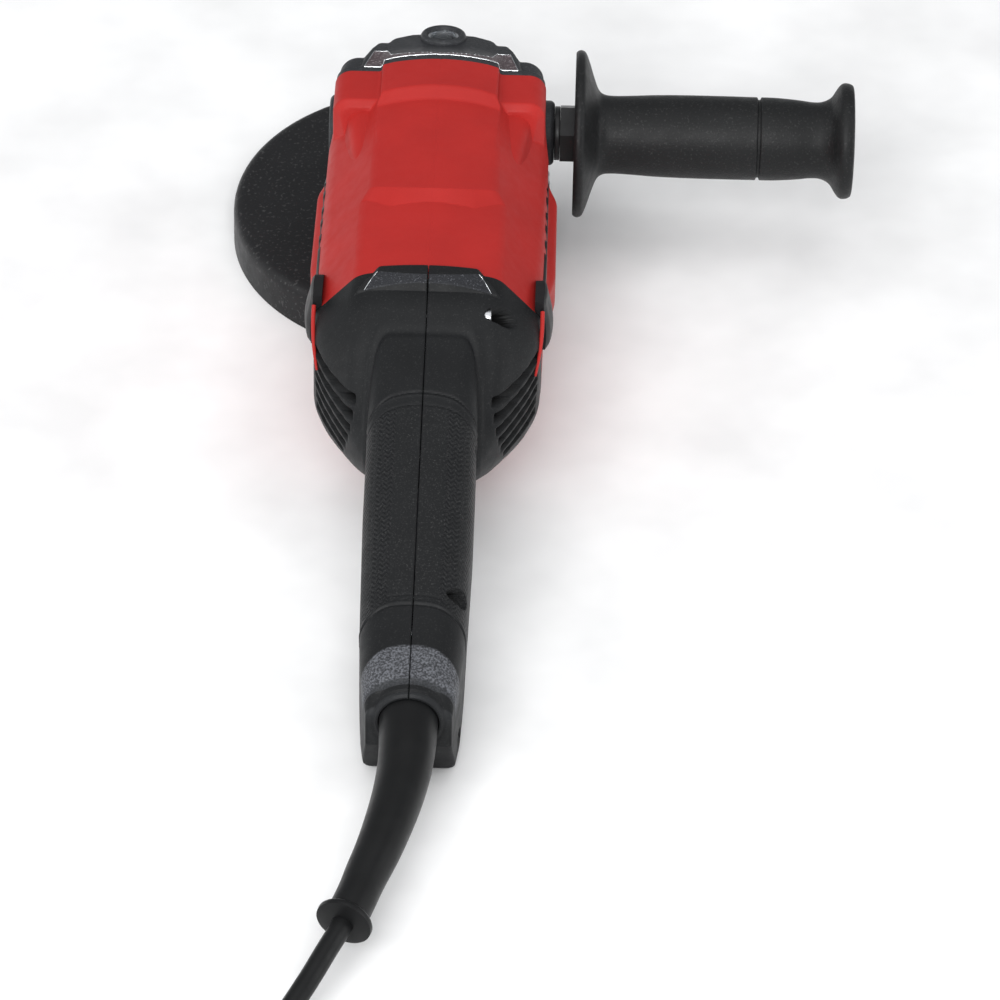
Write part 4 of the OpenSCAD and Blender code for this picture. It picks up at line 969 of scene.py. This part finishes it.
def tilt_top(verts):
    """Tips what stands above the flat, which slopes forward a little."""
    v = np.array(verts, float)
    v[:, 2] -= 0.18 * (v[:, 1] - 4) * np.clip((v[:, 2] - 88) / 8, 0, 1)
    return v


def star_surface(field, centre, n, reach):
    """A closed mesh found along rays from centre, laid out as the six faces of a cube."""
    s = np.tan(np.linspace(-math.pi / 4, math.pi / 4, n + 1))
    a, b = np.meshgrid(s, s, indexing="ij")
    dirs, faces = [], []
    for axis in range(3):
        for sign in (-1, 1):
            d = np.empty((n + 1, n + 1, 3))
            d[..., axis], d[..., (axis + 1) % 3], d[..., (axis + 2) % 3] = sign, a, b
            q = quads(n + 1, n + 1, start=len(dirs) * (n + 1) ** 2)[:, [0, 3, 2, 1]]
            dirs.append(d.reshape(-1, 3))
            faces.append(q if sign > 0 else q[:, ::-1])
    d = np.concatenate(dirs)
    # The cube's faces share the vertices of its edges.
    _, kept, index = np.unique(np.round(d, 6) + 0.0, axis=0, return_index=True, return_inverse=True)
    faces = index.reshape(-1)[np.concatenate(faces)]
    d = d[kept]
    d /= np.linalg.norm(d, axis=1, keepdims=True)
    c = np.array(centre, float)
    t = outermost(lambda t: field(*(c + d * t[:, None]).T) < 0, len(d), reach)
    return c + d * t[:, None], faces.tolist()


head_v, head_f = star_surface(head_field, (0, -4, 58), 128, 90.0)
head_n = slope(head_field, head_v[:, 0], head_v[:, 1], head_v[:, 2], 0.15)
head_f = outward(head_v, head_f)


piece("gear_head", (head_v, head_f), CASTING, ["gear_housing"],
      normals=head_n[np.ravel(head_f)])

# Turned bosses of the head: the top bore's ring, both side bosses and the lock's boss.
BORE = (0, 4)
RING = [(6.9, 84.5, 0.2), (6.9, 98.0, 0.2), (7.6, 99.4, 0.5), (8.6, 99.8, 0.6), (9.9, 99.2, 0.9),
        (10.6, 97.6, 1.0), (10.6, 91.0, 1.0), (12.2, 87.5, 0.5), (12.2, 84.5, 0.2)]
BOSS = [(0, 30, 0), (15, 30, 0), (15, 50.6, 1.4), (13.6, 52, 1.0), (8.4, 52, 0.5), (6.2, 50.4, 0.5),
        (6.2, 38.2, 0.3), (0, 38.2, 0)]
LOCK_BOSS = [(0, 30, 0), (13, 30, 0), (12.2, 46, 1.5), (10.8, 47, 0.8), (8.4, 47, 0.4), (8.4, 37.2, 0.3),
             (0, 37.2, 0)]
ring_v, ring_f = lathe_grid(round_profile(RING, 4), 72, BORE)
bosses = join_parts([(tilt_top(ring_v), ring_f), turned(BOSS, "x", (0, 0, HANDLE_Z)),
                     turned(BOSS, "-x", (0, 0, HANDLE_Z)), turned(LOCK_BOSS, "y", (0, 0, 50.2))])
piece("gear_head_bosses", bosses, CASTING, (), 30)

# Steel thread insert in the top bore.
thread = [(6.95, 86.0), (6.95, 98.1)]
for k in range(12):
    thread += [(6.05, 97.9 - k), (6.75, 97.4 - k)]
thread += [(6.3, 86.1)]
thread_v, thread_f = lathe_grid(thread, 64, BORE)
thread_x, thread_y = thread_v[:, 0], thread_v[:, 1] - BORE[1]
pitch_rise = 0.25 * np.sin(np.arctan2(thread_y, thread_x))
thread_v[:, 2] += np.where(np.hypot(thread_x, thread_y) < 6.9, pitch_rise, 0)
piece("bore_thread", (tilt_top(thread_v), thread_f), SILVER, (), 30)


def thin_line(points, r):
    return sweep_tube(points, [r] * len(points), 6)


# Sparkling inlay just ahead of the red edge: two trapezoids joined by a thin band.
INLAY_BACK = -26.6
inlay_x = np.concatenate([np.linspace(-35.0, -22, 34), np.linspace(-22, 22, 90)[1:-1],
                          np.linspace(22, 35.0, 34)])
inlay_a = np.abs(inlay_x)
jag = 0.3 * np.sin(inlay_x * 3.1) + 0.25 * np.sin(inlay_x * 7.7 + 1)
band_front = -23.1 + 3.8 * (inlay_a / 23) ** 2 + jag
end_front = np.interp(inlay_a, [31.2, 35], [-9.5, INLAY_BACK + 0.3])
front = band_front + (end_front - band_front) * np.clip((inlay_a - 23.2) / 1.8, 0, 1)
rows = np.linspace(0, 1, 12)[:, None]
gx = np.repeat(inlay_x[None], 12, 0)
gy = INLAY_BACK + (front - INLAY_BACK)[None] * rows
gz = drop_onto(head_field, gx, gy)
piece("head_inlay", closed_sheet(np.stack([gx, gy, gz + 0.12], -1), np.stack([gx, gy, gz - 0.5], -1)),
      INLAY, (), 60)
back_y = np.full_like(inlay_x, INLAY_BACK)
back_line = np.stack([inlay_x, back_y, drop_onto(head_field, inlay_x, back_y) + 0.15], -1)
front_line = np.stack([inlay_x, front, drop_onto(head_field, inlay_x, front) + 0.12], -1)
band_line = front_line[inlay_a < 22.8]
rims = [thin_line(back_line, 0.30), thin_line(front_line[inlay_x < -22.4][::-1], 0.22),
        thin_line(front_line[inlay_x > 22.4], 0.22)]
rims += [thin_line(band_line[k:k + 3], 0.15) for k in range(0, len(band_line) - 3, 4)]
piece("head_inlay_rim", join_parts(rims), SILVER, (), 60)

# Speckled wedge on the black lip, in two halves, each with a bright edge.
for side in (-1, 1):
    u, v = np.meshgrid(np.linspace(0, 1, 40), np.linspace(0, 1, 10))
    wx = 0.5 + u * (21.5 + 5.6 * v)
    wy = (lip_crest(wx) - 0.3) * (1 - v) + (LIP_END + 0.3) * v
    wz = drop_onto(shell_plain, wx, wy)
    wedge = np.stack([side * wx, wy, wz], -1)
    name = side_name(side)
    piece("lip_wedge_" + name, closed_sheet(wedge + (0, 0, 0.1), wedge - (0, 0, 0.5)), LIP,
          (), 60)
    piece("lip_edge_" + name, thin_line(wedge[:, -1] + (0, 0, 0.1), 0.22), SILVER, (), 60)


# ---------- flank panels ----------

def panel_field(x, y, z):
    """Outer face of a black flank panel: a little proud of the housing, with the cover over the brush."""
    a = np.abs(x)
    side = a - at(y, (-64, 50.5), (-129, 50.9), (-160, 50.7), (-170, 51.4), (-186, 51.4))
    cover = (np.sqrt(((a - 40) / 14.6) ** 2 + ((y + 172) / 21) ** 2 + ((z - 66) / 22) ** 2) - 1) * 13
    return smin(side, cover, 3)


PANEL_FRONT, PANEL_LONG, PANEL_LOW = -64, 119.4, 59.0
for side in (-1, 1):
    u, v = np.meshgrid(np.linspace(0, 1, 60), np.linspace(0, 1, 30))
    py = PANEL_FRONT - u * PANEL_LONG
    high = at(py, (-64, 66), (-80, 73), (-152, 73.5), (-165, 83), (-183, 84.5))
    pz = PANEL_LOW + (high - PANEL_LOW) * v
    px = cast(panel_field, 0.0, pz, 1.0, 0.0, py, 62.0)
    rim = np.minimum.reduce([u * PANEL_LONG, (1 - u) * PANEL_LONG, pz - PANEL_LOW, high - pz])
    px = px - 1.0 * step(1.4, 0, rim)
    # Cooling slots.
    for k in range(5):
        along = py - 11 * k
        px = px - 1.6 * hat(along, -130.2, -129.2, -125.8, -124.8) * hat(pz, 61, 62, 74, 75)
    name = side_name(side)
    outer = np.stack([side * px, py, pz], -1)
    panel = closed_sheet(outer, np.stack([np.full_like(px, side * 46.5), py, pz], -1))
    piece("flank_panel_" + name, panel, PANEL, ["side_panel_" + name], 45)

# Thin red ribbons that run from the housing over each flank of the handle's front.
for side in (-1, 1):
    line = spline([(49.9, -184, 80), (49.9, -191, 75), (49.2, -199, 69), (47.6, -207, 62)], 8)
    radii = 0.95 - 0.5 * (np.arange(len(line)) / len(line)) ** 3
    piece("flank_ribbon_" + side_name(side), sweep_tube(line * (side, 1, 1), radii, 10), RED,
          (), 60)

# ---------- finishes of the CAD parts ----------

BEVELLED = {"guard_clamp_band", "guard_clamp_bolt", "guard_lever", "guard_collar", "lock_button", "trigger",
            "handle_washer", "handle_stud", "lock_off_slider", "bearing_cover", "bearing_cover_screws",
            "disc_flange", "shell_screws", "plug_pins"}
for part in frame["record"]["subparts"]:
    node = part["node"]
    obj = frame["nodes"][node]
    look = SLOT_LOOKS[part["material_slot"]]
    for k in range(len(obj.data.materials)):
        obj.data.materials[k] = look
    if not obj.data.materials:
        obj.data.materials.append(look)
    if node in BEVELLED:
        weld = obj.modifiers.new("weld", "WELD")
        weld.merge_threshold = 0.01 * MM
        bevel = obj.modifiers.new("bevel", "BEVEL")
        bevel.width = 0.35 * MM
        bevel.segments = 2
        bevel.limit_method = "ANGLE"
        bevel.angle_limit = math.radians(38)
